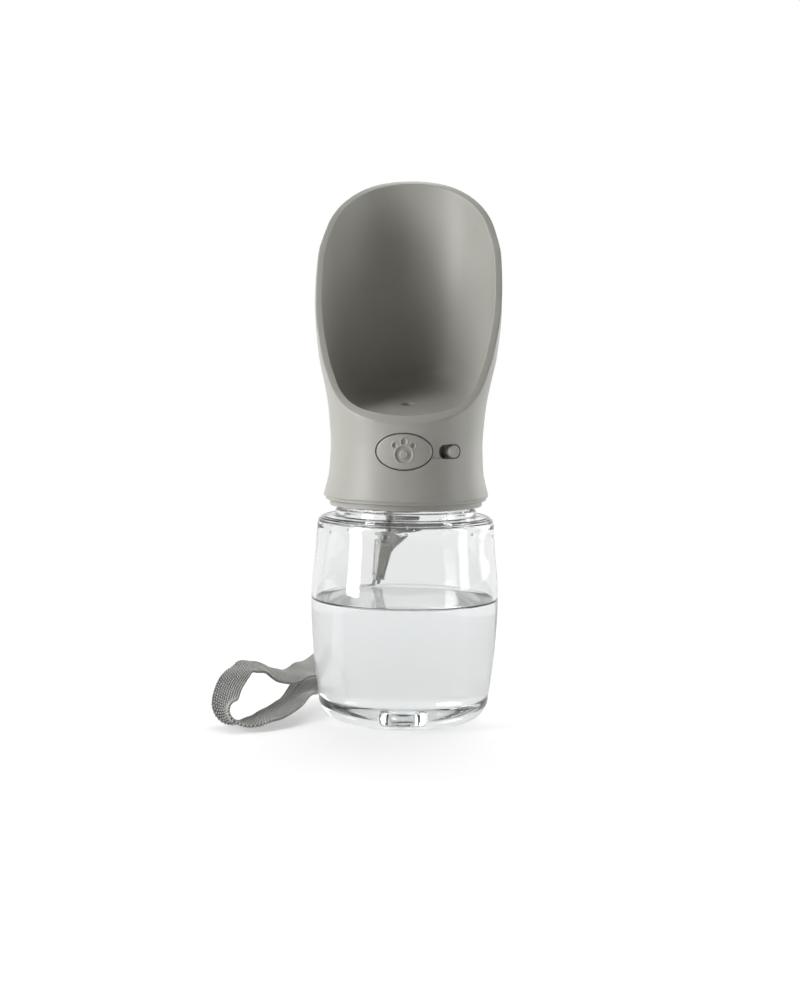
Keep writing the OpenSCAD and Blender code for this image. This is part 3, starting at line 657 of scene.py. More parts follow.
@made_once
def spinning_tree():
    """Spins an outline about the Z axis; with a pitch it climbs like a thread, and its ends run out."""
    tree, given = new_tree("Spun outline", {
        "Segments": ("NodeSocketInt", 192),
        "Turns": ("NodeSocketFloat", 1.0),
        "Pitch": ("NodeSocketFloat", 0.0),
        "Run-out": ("NodeSocketFloat", 0.0),
        "Finish": ("NodeSocketMaterial", None),
    })

    def maths(operation, a, b=0.0):
        return add_node(tree, "ShaderNodeMath", {0: a, 1: b}, operation=operation).outputs[0]

    count = add_node(tree, "GeometryNodeAttributeDomainSize", {0: given["Geometry"]}).outputs[0]
    columns = maths("ADD", given["Segments"], 1.0)
    grid = add_node(tree, "GeometryNodeMeshGrid", {"Vertices X": columns, "Vertices Y": count})
    index = add_node(tree, "GeometryNodeInputIndex").outputs[0]
    column = maths("FLOOR", maths("DIVIDE", maths("ADD", index, 0.5), count))
    row = maths("SUBTRACT", index, maths("MULTIPLY", column, count))
    outline = add_node(
        tree, "GeometryNodeSampleIndex",
        {"Geometry": given["Geometry"], "Value": add_node(tree, "GeometryNodeInputPosition").outputs[0],
         "Index": row},
        data_type="FLOAT_VECTOR", domain="POINT",
    )
    share = maths("DIVIDE", column, given["Segments"])
    turned = maths("MULTIPLY", share, given["Turns"])
    angle = maths("MULTIPLY", turned, math.tau)
    left = maths("SUBTRACT", given["Turns"], turned)
    nearest = maths("MINIMUM", turned, left)
    fade = maths("MINIMUM", maths("DIVIDE", nearest, maths("MAXIMUM", given["Run-out"], 1e-6)), 1.0)
    some = maths("GREATER_THAN", given["Run-out"], 0.0)
    full = maths("MAXIMUM", fade, maths("SUBTRACT", 1.0, some))
    middle = add_node(
        tree, "GeometryNodeAttributeStatistic",
        {"Geometry": given["Geometry"], "Attribute": add_node(tree, "GeometryNodeInputPosition").outputs[0]},
        data_type="FLOAT_VECTOR", domain="POINT",
    )
    mean = next(s for s in middle.outputs if s.name == "Mean" and s.type == "VECTOR")
    shape = add_node(
        tree, "ShaderNodeMix", {0: full, 4: mean, 5: outline.outputs["Value"]}, data_type="VECTOR"
    )
    parts = add_node(tree, "ShaderNodeSeparateXYZ", {0: shape.outputs[1]}).outputs
    height = maths("ADD", parts["Z"], maths("MULTIPLY", given["Pitch"], turned))
    point = add_node(
        tree, "ShaderNodeCombineXYZ",
        {"X": maths("MULTIPLY", parts["X"], maths("COSINE", angle)),
         "Y": maths("MULTIPLY", parts["X"], maths("SINE", angle)), "Z": height},
    )
    spun = add_node(
        tree, "GeometryNodeSetPosition", {"Geometry": grid.outputs[0], "Position": point.outputs[0]}
    )
    closed = add_node(
        tree, "GeometryNodeMergeByDistance", {"Geometry": spun.outputs[0], "Distance": 0.0005 * MM}
    )
    return end_tree(tree, closed.outputs[0], given["Finish"])


@made_once
def copying_tree():
    """Puts a copy of one object on each point, turned by the points' own directions and scaled."""
    tree, given = new_tree("Placed copies", {
        "Copy": ("NodeSocketObject", None), "Finish": ("NodeSocketMaterial", None),
    })

    def own(name, kind):
        return add_node(tree, "GeometryNodeInputNamedAttribute", {"Name": name}, data_type=kind).outputs[0]

    copy = add_node(tree, "GeometryNodeObjectInfo", {"Object": given["Copy"], "As Instance": True})
    upright = add_node(
        tree, "FunctionNodeAlignRotationToVector", {"Vector": own("out", "FLOAT_VECTOR")}, axis="Z"
    )
    turned = add_node(
        tree, "FunctionNodeAlignRotationToVector",
        {"Rotation": upright.outputs[0], "Vector": own("lay", "FLOAT_VECTOR")}, axis="X", pivot_axis="Z",
    )
    points = add_node(tree, "GeometryNodeMeshToPoints", {0: given["Geometry"]})
    copies = add_node(
        tree, "GeometryNodeInstanceOnPoints",
        {"Points": points.outputs[0], "Instance": copy.outputs["Geometry"],
         "Rotation": turned.outputs[0], "Scale": own("size", "FLOAT")},
    )
    return end_tree(tree, copies.outputs[0], given["Finish"])


@made_once
def scattering_tree():
    """Scatters copies of one object over a surface, each standing on it and of its own size."""
    tree, given = new_tree("Scattered drops", {
        "Copy": ("NodeSocketObject", None),
        "Density": ("NodeSocketFloat", 100.0),
        "Smallest": ("NodeSocketFloat", 0.4),
        "Largest": ("NodeSocketFloat", 1.0),
        "Seed": ("NodeSocketInt", 1),
        "Finish": ("NodeSocketMaterial", None),
    })
    spots = add_node(
        tree, "GeometryNodeDistributePointsOnFaces",
        {"Mesh": given["Geometry"], "Density": given["Density"], "Seed": given["Seed"]},
    )
    size = add_node(
        tree, "FunctionNodeRandomValue",
        {2: given["Smallest"], 3: given["Largest"], "Seed": given["Seed"]}, data_type="FLOAT",
    )
    copy = add_node(tree, "GeometryNodeObjectInfo", {"Object": given["Copy"], "As Instance": True})
    copies = add_node(
        tree, "GeometryNodeInstanceOnPoints",
        {"Points": spots.outputs["Points"], "Instance": copy.outputs["Geometry"],
         "Rotation": spots.outputs["Rotation"], "Scale": size.outputs[1]},
    )
    return end_tree(tree, copies.outputs[0], given["Finish"])


def grown(name, base, tree, values):
    """Runs a tree on a base object and keeps what it makes as a plain mesh."""
    base.name = name
    modifier = base.modifiers.new(tree.name, "NODES")
    modifier.node_group = tree
    sockets = {s.name: s.identifier for s in tree.interface.items_tree if s.in_out == "INPUT"}
    for label, value in values.items():
        modifier[sockets[label]] = value
    applied(base)
    base.data.name = name
    return base


def spun(name, outline, material, segments, turns=1.0, pitch=0.0, run_out=0.0, sharp=38):
    """A turned piece or a thread from an outline of (radius, height) in millimetres."""
    base = mesh_object(name, [(r, 0, z) for r, z in outline], [])
    grown(name, base, spinning_tree(), {
        "Segments": segments, "Turns": turns, "Pitch": pitch * MM, "Run-out": run_out, "Finish": material,
    })
    return tidy_mesh(base, sharp)


def closed_ring(outline):
    """An outline whose end meets its start."""
    return [*outline, outline[0]]


def cloud(name, points, outs, lays, sizes):
    """Points in millimetres with the directions and sizes that the copying tree reads."""
    base = mesh_object(name, points, [])
    for label, kind, values in (
        ("out", "FLOAT_VECTOR", outs), ("lay", "FLOAT_VECTOR", lays), ("size", "FLOAT", sizes),
    ):
        attribute = base.data.attributes.new(label, kind, "POINT")
        field = "vector" if kind == "FLOAT_VECTOR" else "value"
        attribute.data.foreach_set(field, np.asarray(values, np.float32).ravel())
    return base


def half_bead(name, length, width, height, sides=6):
    """A low dome of few faces that is copied many times."""
    rings = [(1.0, -0.15), (0.72, 0.62)]
    points = [
        (share * length / 2 * math.cos(a), share * width / 2 * math.sin(a), rise * height)
        for share, rise in rings for a in np.linspace(0, math.tau, sides, endpoint=False)
    ]
    points.append((0, 0, height))
    top = len(points) - 1
    faces = grid_faces(len(rings), sides)
    faces += [(sides + k, sides + (k + 1) % sides, top) for k in range(sides)]
    faces.append(tuple(reversed(range(sides))))
    return mesh_object(name, points, faces)


# The clear bottle


def shoulder_arc(radius, ridge):
    """The rounded shoulder, with two fine steps moulded in its outside."""
    line = []
    for a in np.linspace(10, 84, 38):
        rise = ridge * sum(math.exp(-(((a - at) / 4.5) ** 2)) for at in (38, 58, 78))
        line += arc(SHOULDER_CENTRE, radius + rise, a, a, 0)
    return line


def bottle_inside():
    """The bottle's inner outline from the middle of its floor up to its mouth."""
    inner = [(r - BOTTLE_WALL, z) for r, z in bottle_side if z > FOOT_CORNER + 1]
    return [
        *filleted([
            (0, DIMPLE_H + BASE_T - 1, 0), (6.2, DIMPLE_H + BASE_T - 1, 1.0), (8.4, BASE_T, 1.2),
            (FOOT_R - 4.5, BASE_T, 0),
        ]),
        *arc((FOOT_R, FOOT_CORNER), FOOT_CORNER - BOTTLE_WALL, -76, -4, 12),
        *inner,
        *arc(SHOULDER_CENTRE, SHOULDER_ROUND - BOTTLE_WALL + 0.2, 10, 84, 8),
        *filleted([
            (NECK_BORE_R + 2.6, SHOULDER_Z - 1.9, 0), (NECK_BORE_R, SHOULDER_Z - 1.6, 1.2),
            (NECK_BORE_R, MOUTH_Z - 2, 0),
        ]),
    ]


def bottle_outside():
    """The bottle's outer outline from the middle of its base up to its mouth."""
    return [
        *filleted([
            (0, DIMPLE_H, 0), (4.6, DIMPLE_H, 1.0), (7.0, FOOT_H, 1.0), (FOOT_R - 5.5, FOOT_H, 1.2),
            (FOOT_R - 3.5, 0, 0.8), (FOOT_R - 1, 0, 0),
        ]),
        *arc((FOOT_R, FOOT_CORNER), FOOT_CORNER, -90, -4, 16),
        *bottle_side[1:-1],
        *shoulder_arc(SHOULDER_ROUND, 0.3),
        *filleted([
            (BEAD_R + 1.2, SHOULDER_Z - 0.15, 0), (BEAD_R, SHOULDER_Z, 0.3), (BEAD_R, SHOULDER_Z + 2.1, 0.4),
            (NECK_R, SHOULDER_Z + 2.8, 0.5), (NECK_R, MOUTH_Z - 0.2, 0),
        ]),
    ]


class BuildBottle(bpy.types.Operator):
    """Blow the clear bottle with its neck thread"""

    bl_idname = "water_bottle.bottle"
    bl_label = "Clear bottle"

    def execute(self, context):
        settings = context.scene.bottle_settings
        plastic = clear_copolyester("Clear copolyester", settings.plastic)
        lip = filleted([
            (NECK_R, MOUTH_Z - 1, 0), (NECK_R, MOUTH_Z, 0.5), (NECK_BORE_R, MOUTH_Z, 0.4),
            (NECK_BORE_R, MOUTH_Z - 1, 0),
        ])
        outline = [*bottle_outside(), *lip, *reversed(bottle_inside())]
        shell = spun("clear_bottle", outline, plastic, settings.segments)
        ridge = [(NECK_R - 0.4, -0.85), (NECK_R + 1, -0.4), (NECK_R + 1, 0.4), (NECK_R - 0.4, 0.85)]
        thread = spun(
            "neck_thread", closed_ring([(r, THREAD_Z + z) for r, z in ridge]), plastic, 160,
            turns=THREAD_TURNS, pitch=PITCH, run_out=1 / 6,
        )
        dressed(carved(shell, thread, "UNION"), "bottle", "clear_plastic", "bottle_shell")
        tidy_mesh(shell, 38)
        return {"FINISHED"}


class PourWater(bpy.types.Operator):
    """Half fill the bottle and wet its neck with drops"""

    bl_idname = "water_bottle.water"
    bl_label = "Water"

    def execute(self, context):
        settings = context.scene.bottle_settings
        water = clear_water("Drinking water")
        level = settings.water_height / MM
        meniscus_h = 1.1
        meniscus_w = 2.6
        into_wall = 0.12
        wet = [(r + into_wall, z - into_wall * (z < FOOT_CORNER)) for r, z in bottle_inside() if z < level]
        wet[0] = (0, wet[0][1])
        wall_r = wet[-1][0]
        surface = [
            (wall_r - meniscus_w * (1 - t), level + meniscus_h * t**3) for t in np.linspace(1, 0, 8)
        ]
        body = spun("bottle_water", [*wet, *surface, (0, level)], water, settings.segments, sharp=60)
        dressed(body, "bottle", "clear_plastic")

        band = [(r - 0.02, z) for r, z in bottle_inside() if z > SHOULDER_Z - 9 and z < COLLAR_Z + 4]
        skin = spun("neck_drops", band, water, 64)
        skin.data.flip_normals()
        bead = half_bead("drop_shape", 1.0, 1.0, 0.4, sides=10)
        drops = grown("neck_drops", skin, scattering_tree(), {
            "Copy": bead, "Density": settings.drops * 1e4, "Smallest": 0.35, "Largest": 1.5, "Seed": 4,
            "Finish": water,
        })
        bpy.data.objects.remove(bead)
        dressed(drops, "bottle", "clear_plastic")
        return {"FINISHED"}


# The drinking head


def rim_heights(angles, inset):
    """Height at which a wall, inset from the head's outline, meets the rim, for angles from the front."""
    below = np.full(len(angles), rim_line[0][1])
    above = np.full(len(angles), rim_line[-1][1])
    for _ in range(48):
        middle = (below + above) / 2
        wall_y = -(head_radius(middle) - inset) * np.cos(angles)
        rim_y = np.interp(middle, rim_line[:, 1], rim_line[:, 0])
        under = wall_y > rim_y
        below = np.where(under, middle, below)
        above = np.where(under, above, middle)
    return (below + above) / 2


def even_angles(columns):
    """Angles round the head, spaced evenly along its rim."""
    fine = np.linspace(0, math.tau, 2401)
    heights = rim_heights(fine, 0)
    x, y = from_front(fine, head_radius(heights))
    steps = np.sqrt(np.diff(x) ** 2 + np.diff(y) ** 2 + np.diff(heights) ** 2)
    along = np.concatenate([[0], np.cumsum(steps)])
    return np.interp(np.linspace(0, along[-1], columns, endpoint=False), along, fine)


def curve_between(a, corner, b, steps):
    """Rows of (radius, height) on a rounding from a to b about a corner, one value per column."""
    rows = []
    for t in np.linspace(0, 1, steps):
        rows.append(tuple((1 - t) ** 2 * a[i] + 2 * t * (1 - t) * corner[i] + t * t * b[i] for i in (0, 1)))
    return rows


def head_rows(angles, settings):
    """The head's section as rows of (radius, height), from the skirt over the rim to the inside."""
    cos = np.cos(angles)
    whole = np.ones(len(angles))
    outer_z = rim_heights(angles, 0)
    inner_y = -(head_radius(outer_z) - SCOOP_WALL) * cos
    lip = 2.0 * np.clip((-13 - inner_y) / 15, 0, 1)
    inner_z = rim_heights(angles, SCOOP_WALL) + lip
    arc_length = np.gradient(np.unwrap(angles)) * head_radius(outer_z)
    climb = np.abs(np.gradient(outer_z) / arc_length)
    stretch = np.minimum(np.sqrt(1 + climb**2), 4)
    rim_round = settings.rim_round / MM
    slope = math.tan(FLOOR_SLOPE)

    outer = (head_radius(outer_z), outer_z)
    inner = (head_radius(inner_z) - SCOOP_WALL, inner_z)
    span = np.hypot(outer[0] - inner[0], outer[1] - inner[1])
    across = ((inner[0] - outer[0]) / span, (inner[1] - outer[1]) / span)
    outer_start = outer_z - rim_round * stretch
    inner_start = inner_z - 0.6 * rim_round * stretch

    floor_wall_z = FLOOR_Z * whole
    for _ in range(8):
        floor_wall_z = FLOOR_Z - slope * cos * (head_radius(floor_wall_z) - SCOOP_WALL)
    wall_round = np.minimum(settings.floor_round / MM, 0.7 * (inner_start - floor_wall_z))
    wall_r = head_radius(floor_wall_z) - SCOOP_WALL
    floor_r = wall_r - settings.floor_round / MM

    def floor_at(r, drop=0.0):
        return FLOOR_Z - drop / math.cos(FLOOR_SLOPE) - slope * cos * r

    step = [
        (SKIRT_BORE_R, 0.9), (SKIRT_R - 1.0, 0.9), (SKIRT_R - 0.75, 1.05), (SKIRT_R - 0.7, 1.35),
        (SKIRT_R - 0.7, 2.2), (SKIRT_R - 0.2, 2.2), (SKIRT_R - 0.04, 2.3), (SKIRT_R, 2.5),
        (SKIRT_R - 0.03, 2.9),
    ]
    rows = [(r * whole, (SKIRT_Z + z) * whole) for r, z in step]
    for z in np.linspace(SKIRT_Z + 3.6, PRESS_Z - 9, 9):
        rows.append((head_radius(z) * whole, z * whole))
    for t in np.linspace(0, 1, 56)[1:]:
        z = PRESS_Z - 9 + (outer_start - PRESS_Z + 9) * t
        rows.append((head_radius(z), z))
    rows += curve_between(rows[-1], outer, tuple(outer[i] + across[i] * rim_round for i in (0, 1)), 7)[1:]
    inner_edge = tuple(inner[i] - across[i] * 0.6 * rim_round for i in (0, 1))
    wall_top = (head_radius(inner_start) - SCOOP_WALL, inner_start)
    rows += curve_between(inner_edge, inner, wall_top, 6)
    fillet_z = floor_wall_z + wall_round
    for t in np.linspace(0, 1, 44)[1:]:
        z = inner_start + (fillet_z - inner_start) * t
        rows.append((head_radius(z) - SCOOP_WALL, z))
    rows += curve_between(rows[-1], (wall_r, floor_wall_z), (floor_r, floor_at(floor_r)), 10)[1:]
    edge_round = 0.7
    for share in np.linspace(1, 0, 9)[1:]:
        radius = OUTLET_R + edge_round + (floor_r - OUTLET_R - edge_round) * share
        rows.append((radius, floor_at(radius)))
    edge_r = (OUTLET_R + edge_round) * whole
    bore = (OUTLET_R * whole, floor_at(OUTLET_R) - edge_round)
    rows += curve_between((edge_r, floor_at(edge_r)), (OUTLET_R * whole, floor_at(OUTLET_R)), bore, 5)[1:]
    socket_z = FLOOR_Z - FLOOR_T - 2
    boss_z = PRESS_Z + 8
    for r, z in ((OUTLET_R, socket_z), (SOCKET_R, socket_z), (SOCKET_R, boss_z), (BOSS_R, boss_z)):
        rows.append((r * whole, z * whole))
    rows.append((BOSS_R * whole, floor_at(BOSS_R, FLOOR_T)))
    under_z = floor_at(WAIST_R - WAIST_WALL, FLOOR_T)
    rows.append((head_radius(under_z) - WAIST_WALL, under_z))
    for z in (PRESS_Z + 7, DECK_TOP + 8):
        rows.append(((WAIST_R - WAIST_WALL) * whole, np.minimum(z * whole, under_z - 1)))
    rows.append(((WAIST_R - WAIST_WALL) * whole, DECK_TOP * whole))
    rows.append((SKIRT_BORE_R * whole, DECK_TOP * whole))
    return rows


def obround(half_run, radius, front, depth, angle):
    """Cutter with round ends that points out of the waist at an angle from the front."""
    outline = arc((half_run, 0), radius, -90, 90, 20) + arc((-half_run, 0), radius, 90, 270, 20)
    points = [(x, -y, PRESS_Z + z) for y in (front, front + depth) for x, z in outline]
    cutter = prism("cutter", points)
    return placed(cutter, Matrix.Rotation(math.radians(angle), 4, "Z"))


def oval_points(width, height, count):
    """An oval in the button's face, as X and height from the button's axis."""
    angles = np.linspace(0, math.tau, count, endpoint=False)
    return [(width / 2 * math.cos(a), height / 2 * math.sin(a)) for a in angles]


def oval_cutter(width, height, front, back, count=128):
    """Oval prism along the button's axis."""
    outline = oval_points(width, height, count)
    return prism("cutter", [(x, y, PRESS_Z + z) for y in (front, back) for x, z in outline])


class BuildHead(bpy.types.Operator):
    """Mould the drinking head: skirt, waist and scoop with a rounded rim"""

    bl_idname = "water_bottle.head"
    bl_label = "Drinking head"

    def execute(self, context):
        settings = context.scene.head_settings
        plastic = satin_abs("Satin grey ABS", settings.plastic)
        angles = even_angles(settings.columns)
        rows = head_rows(angles, settings)
        points = []
        for radius, height in rows:
            x, y = from_front(angles, radius)
            points += list(zip(x, y, height))
        columns = len(angles)
        last = len(rows) - 1
        faces = grid_faces(len(rows), columns)
        faces += [
            (last * columns + k, last * columns + (k + 1) % columns, (k + 1) % columns, k)
            for k in range(columns)
        ]
        shell = tidy_mesh(mesh_object("drinking_head", points, faces, plastic))

        for side in (-1, 1):
            ear = strap_ear(side, plastic)
            carved(shell, ear, "UNION")
        gap = 2 * BUTTON_GAP
        carved(shell, oval_cutter(BUTTON_W + gap, BUTTON_H + gap, -WAIST_R - 5, -WAIST_R + 10))
        run = WAIST_R * math.sin(math.radians((KNOB_TRAVEL + SLOT_PLAY) / 2))
        middle = KNOB_ANGLE - (KNOB_TRAVEL - SLOT_PLAY) / 2
        carved(shell, obround(run, SLOT_H / 2, WAIST_R - 6, 10, middle))
        carved(shell, lock_track(middle))
        eye = spun("cutter", [(0, -STRAP_W), (EYE_R, -STRAP_W), (EYE_R, STRAP_W), (0, STRAP_W)], plastic, 32)
        placed(eye, Matrix.Translation((0, LUG_Y * MM, LUG_Z * MM)) @ Matrix.Rotation(math.pi / 2, 4, "Y"))
        carved(shell, eye)
        tidy_mesh(shell, 32, turn=False)
        dressed(shell, "head", "head_plastic", "head_shell")
        return {"FINISHED"}


def strap_ear(side, plastic):
    """One of the two ears that hold the strap's pin at the back of the waist."""
    inner_x = STRAP_W / 2 + 0.5
    outline = [
        *arc((LUG_Y, LUG_Z), EAR_R, 71, -71, 16), (WAIST_R - 1, LUG_Z - 7), (WAIST_R - 1, LUG_Z + 7),
    ]
    ear = prism("ear", [(side * x, y, z) for x in (inner_x, inner_x + EAR_T) for y, z in outline], plastic)
    bevel = ear.modifiers.new("round", "BEVEL")
    bevel.width = 0.4 * MM
    bevel.segments = 2
    bevel.limit_method = "ANGLE"
    return applied(ear)


def lock_track(slot_angle):
    """Cutter of the shallow track between the button and the lock's slot."""
    depth = 0.5
    half = SLOT_H / 2 - 0.15
    angles = np.radians(np.linspace(TRACK_START, slot_angle, 24))
    out = WAIST_R + 3
    corners = ((WAIST_R - depth, -half), (out, -half), (out, half), (WAIST_R - depth, half))
    rings = []
    for a in angles:
        ring = []
        for r, z in corners:
            x, y = from_front(a, r)
            ring.append((x, y, PRESS_Z + z))
        rings.append(ring)
    return swept("cutter", rings, None)


class BuildCollar(bpy.types.Operator):
    """Turn the threaded collar that shows under the skirt"""

    bl_idname = "water_bottle.collar"
    bl_label = "Threaded collar"

    def execute(self, context):
        settings = context.scene
        plastic = satin_abs("Satin grey ABS of the collar", settings.head_settings.plastic)
        low_edge = COLLAR_Z + 1.0
        outline = filleted([
            (COLLAR_BORE_R, COLLAR_Z + 3, 0), (COLLAR_BORE_R, low_edge, 0.3), (COLLAR_STEP_R, low_edge, 0.4),
            (COLLAR_STEP_R, SKIRT_Z + 0.85, 0.2), (COLLAR_R, SKIRT_Z + 0.85, 0), (COLLAR_R, DECK_Z, 0.2),
            (COLLAR_BORE_R, DECK_Z, 0.2), (COLLAR_BORE_R, COLLAR_Z + 3, 0),
        ])
        collar = spun("threaded_collar", outline, plastic, settings.bottle_settings.segments)
        r = COLLAR_BORE_R
        ridge = [(r + 0.5, 0.85), (r - 1, 0.4), (r - 1, -0.4), (r + 0.5, -0.85)]
        thread = spun(
            "collar_thread", closed_ring([(q, THREAD_Z - PITCH / 2 + z) for q, z in ridge]), plastic, 160,
            turns=THREAD_TURNS, pitch=PITCH, run_out=1 / 6,
        )
        carved(collar, thread, "UNION")
        tidy_mesh(collar)
        dressed(collar, "head", "head_plastic", "thread_collar")
        return {"FINISHED"}


# Button and lock


def soft_step(distance, width):
    """Goes from 1 inside to 0 outside over a width."""
    t = np.clip(0.5 - distance / width, 0, 1)
    return t * t * (3 - 2 * t)


def paw_depth(x, z):
    """How deep the plain paw mark lies at a place on the button's face, as a share; its lips stand up."""
    wall = 0.28
    pad = np.hypot(x, z + 1)
    depth = soft_step(pad - 3.15, wall) * (1 - soft_step(pad - 1.5, wall))
    lip = np.exp(-(((pad - 3.6) / 0.22) ** 2))
    for toe_x, toe_z, toe_r in ((0, 3.9, 1.15), (-3.4, 2.5, 0.9), (3.4, 2.5, 0.9)):
        toe = np.hypot((x - toe_x) * 1.12, z - toe_z)
        depth = np.maximum(depth, soft_step(toe - toe_r, wall))
        lip = np.maximum(lip, np.exp(-(((toe - toe_r - 0.42) / 0.2) ** 2)))
    return depth - 0.3 * lip * (1 - depth)


class BuildButton(bpy.types.Operator):
    """Mould the domed oval push button with its paw mark"""

    bl_idname = "water_bottle.button"
    bl_label = "Push button"

    def execute(self, context):
        settings = context.scene.head_settings
        plastic = satin_abs("Satin grey ABS of the button", settings.plastic, 0.4)
        dome_r = 75
        edge_round = 0.9
        count = 240
        unit_oval = np.array(oval_points(2, 2, count))
        shares = np.concatenate([np.linspace(0, 0.78, 62)[1:], 1 - np.linspace(0.22, 0, 26)[1:] ** 1.3])
        shares = np.unique(np.clip(shares, 0, 1))
        rings = []
        for share in shares:
            x = unit_oval[:, 0] * BUTTON_W / 2 * share
            z = unit_oval[:, 1] * BUTTON_H / 2 * share
            waist = np.sqrt(BUTTON_FACE_R**2 - x**2)
            dome = dome_r - np.sqrt(dome_r**2 - x**2 - z**2)
            inward = (1 - share) * np.hypot(unit_oval[:, 0] * BUTTON_W / 2, unit_oval[:, 1] * BUTTON_H / 2)
            to_edge = np.clip(edge_round - inward, 0, edge_round)
            drop = edge_round - np.sqrt(edge_round**2 - to_edge**2)
            depth = paw_depth(x, z) * settings.mark_depth / MM
            rings.append(np.stack([x, -waist + 0.6 * dome + drop + depth, PRESS_Z + z], axis=1))
        skirt_y = low("button_cap")[1] + CAP_DEPTH
        wall = 1.4
        inside_y = -BUTTON_FACE_R + 1.8
        for y, inset in ((skirt_y, 0), (skirt_y, wall), (inside_y + 1.2, wall)):
            x = unit_oval[:, 0] * (BUTTON_W / 2 - inset)
            z = unit_oval[:, 1] * (BUTTON_H / 2 - inset)
            deepest = -np.sqrt(BUTTON_FACE_R**2 - x**2) + 2
            rings.append(np.stack([x, np.maximum(y, deepest), PRESS_Z + z], axis=1))
        points = np.concatenate(rings).tolist()
        faces = grid_faces(len(rings), count)
        front = len(points)
        points += [(0, -BUTTON_FACE_R + float(paw_depth(0, 0)), PRESS_Z), (0, inside_y + 0.2, PRESS_Z)]
        faces += [(k, (k + 1) % count, front) for k in range(count)]
        end = (len(rings) - 1) * count
        faces += [(end + (k + 1) % count, end + k, front + 1) for k in range(count)]
        cap = tidy_mesh(mesh_object("push_button", points, faces, plastic), 50)
        inner, outer = BARREL_R
        section = [(inner, 0), (outer, 0), (outer, BARREL_L), (inner, BARREL_L)]
        barrel = spun("barrel", closed_ring(section), plastic, 64)
        backwards = Matrix.Rotation(-math.pi / 2, 4, "X")
        placed(barrel, Matrix.Translation((0, BARREL_FRONT * MM, PRESS_Z * MM)) @ backwards)
        # An ear on its web at the left and a tongue at the top keep the button in its hole
        ear = block("ear", (-12.3, -24.25, PRESS_Z - 3.4), (-9.5, -22.9, PRESS_Z + 3.4), 0.2, plastic)
        web = block("web", (-10.7, -25.2, PRESS_Z - 3.3), (-9.5, -23.0, PRESS_Z + 3.3), 0.1, plastic)
        stop = block("stop", (-3.4, -26.8, PRESS_Z + 5.7), (3.4, -25.5, PRESS_Z + 8.2), 0.2, plastic)
        button = joined("push_button", [cap, barrel, ear, web, stop])
        dressed(button, "button", "head_plastic", "button_cap")
        return {"FINISHED"}


class BuildLock(bpy.types.Operator):
    """Turn the travel lock's knob in its slot"""

    bl_idname = "water_bottle.lock"
    bl_label = "Travel lock"

    def execute(self, context):
        plastic = satin_abs("Satin grey ABS of the lock", context.scene.head_settings.plastic, 0.4)
        foot = WAIST_R - WAIST_WALL - 0.2
        top = WAIST_R + 1.2
        outline = filleted([
            (0, foot - 2.2, 0), (1.2, foot - 2.2, 0.2), (1.2, foot, 0), (KNOB_R, foot, 0.1),
            (KNOB_R, top, 0.45), (KNOB_R - 0.75, top - 0.02, 0.2), (0, top - 0.12, 0),
        ], 5)
        knob = spun("lock_button", outline, plastic, 72)
        out = Matrix.Rotation(math.radians(KNOB_ANGLE), 4, "Z") @ Matrix.Rotation(math.pi / 2, 4, "X")
        placed(knob, Matrix.Translation((0, 0, PRESS_Z * MM)) @ out)
        dressed(knob, "lock", "head_plastic", "lock_knob")
        finish_node("lock_slider", plastic)
        finish_node("lock_retainer", plastic)
        return {"FINISHED"}


def finish_node(node, material):
    """Gives a CAD node that keeps its shape its finish."""
    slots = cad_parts[node].data.materials
    if len(slots) == 0:
        slots.append(material)
    for i in range(len(slots)):
        slots[i] = material


class FitValve(bpy.types.Operator):
    """Finish the valve, the deck and the seals, and wind the return spring"""

    bl_idname = "water_bottle.valve"
    bl_label = "Valve and spring"

    def execute(self, context):
        grey = satin_abs("Satin grey ABS of the deck", context.scene.head_settings.plastic, 0.4)
        acetal = moulded_acetal("White acetal", linear("#E6E4DC"))
        pale = moulded_rubber("Pale silicone rubber", linear("#DDDCD4"))
        black = moulded_rubber("Black nitrile rubber", linear("#262625"))
        steel = drawn_stainless("Drawn stainless steel")
        finishes = {
            grey: ("deck_plate", "button_guide"),
            acetal: ("valve_body", "valve_end_cap"),
            pale: ("mouth_gasket", "outlet_grommet"),
            black: ("rod_seal", "valve_seal", "vent_valve"),
            steel: ("valve_screws", "valve_rod", "strap_pin", "weight_slug"),
        }
        for material, nodes in finishes.items():
            for node in nodes:
                finish_node(node, material)
        first = low("button_spring")[1]
        last = high("button_spring")[1]
        wire = 0.4
        turns = 6
        climb = (last - first - 2 * wire) / turns
        coil_r = 3.2
        ring = closed_ring(arc((coil_r, wire), wire, 0, 324, 9))
        spring = spun("return_spring", ring, steel, 240, turns=turns, pitch=climb, run_out=0.02, sharp=70)
        along = Matrix.Translation((0, first * MM, PRESS_Z * MM)) @ Matrix.Rotation(-math.pi / 2, 4, "X")
        placed(spring, along)
        dressed(spring, "head", "steel", "button_spring")
        return {"FINISHED"}


# Dip tube and weight

WEIGHT_DOWN = np.array([
    -math.cos(math.radians(WEIGHT_LEAN[0])) * math.sin(math.radians(WEIGHT_LEAN[1])),
    math.sin(math.radians(WEIGHT_LEAN[0])),
    -math.cos(math.radians(WEIGHT_LEAN[0])) * math.cos(math.radians(WEIGHT_LEAN[1])),
])
TUBE_TOP = (-6.5, -7.5, DECK_Z - BARB_H)
TUBE_ROUTE = [
    TUBE_TOP, (-6.5, -7.5, 89), (-6.4, -6.6, 84), (-6.2, -4, 79.5), (-6.3, 0, 76.7), (-6.8, 5, 75),
    (-7.5, 10, 74), (-8.1, 14, 73.3), (-8.6, 17.2, 72.4), tuple(WEIGHT_AT - 3 * WEIGHT_DOWN),
    tuple(WEIGHT_AT),
]


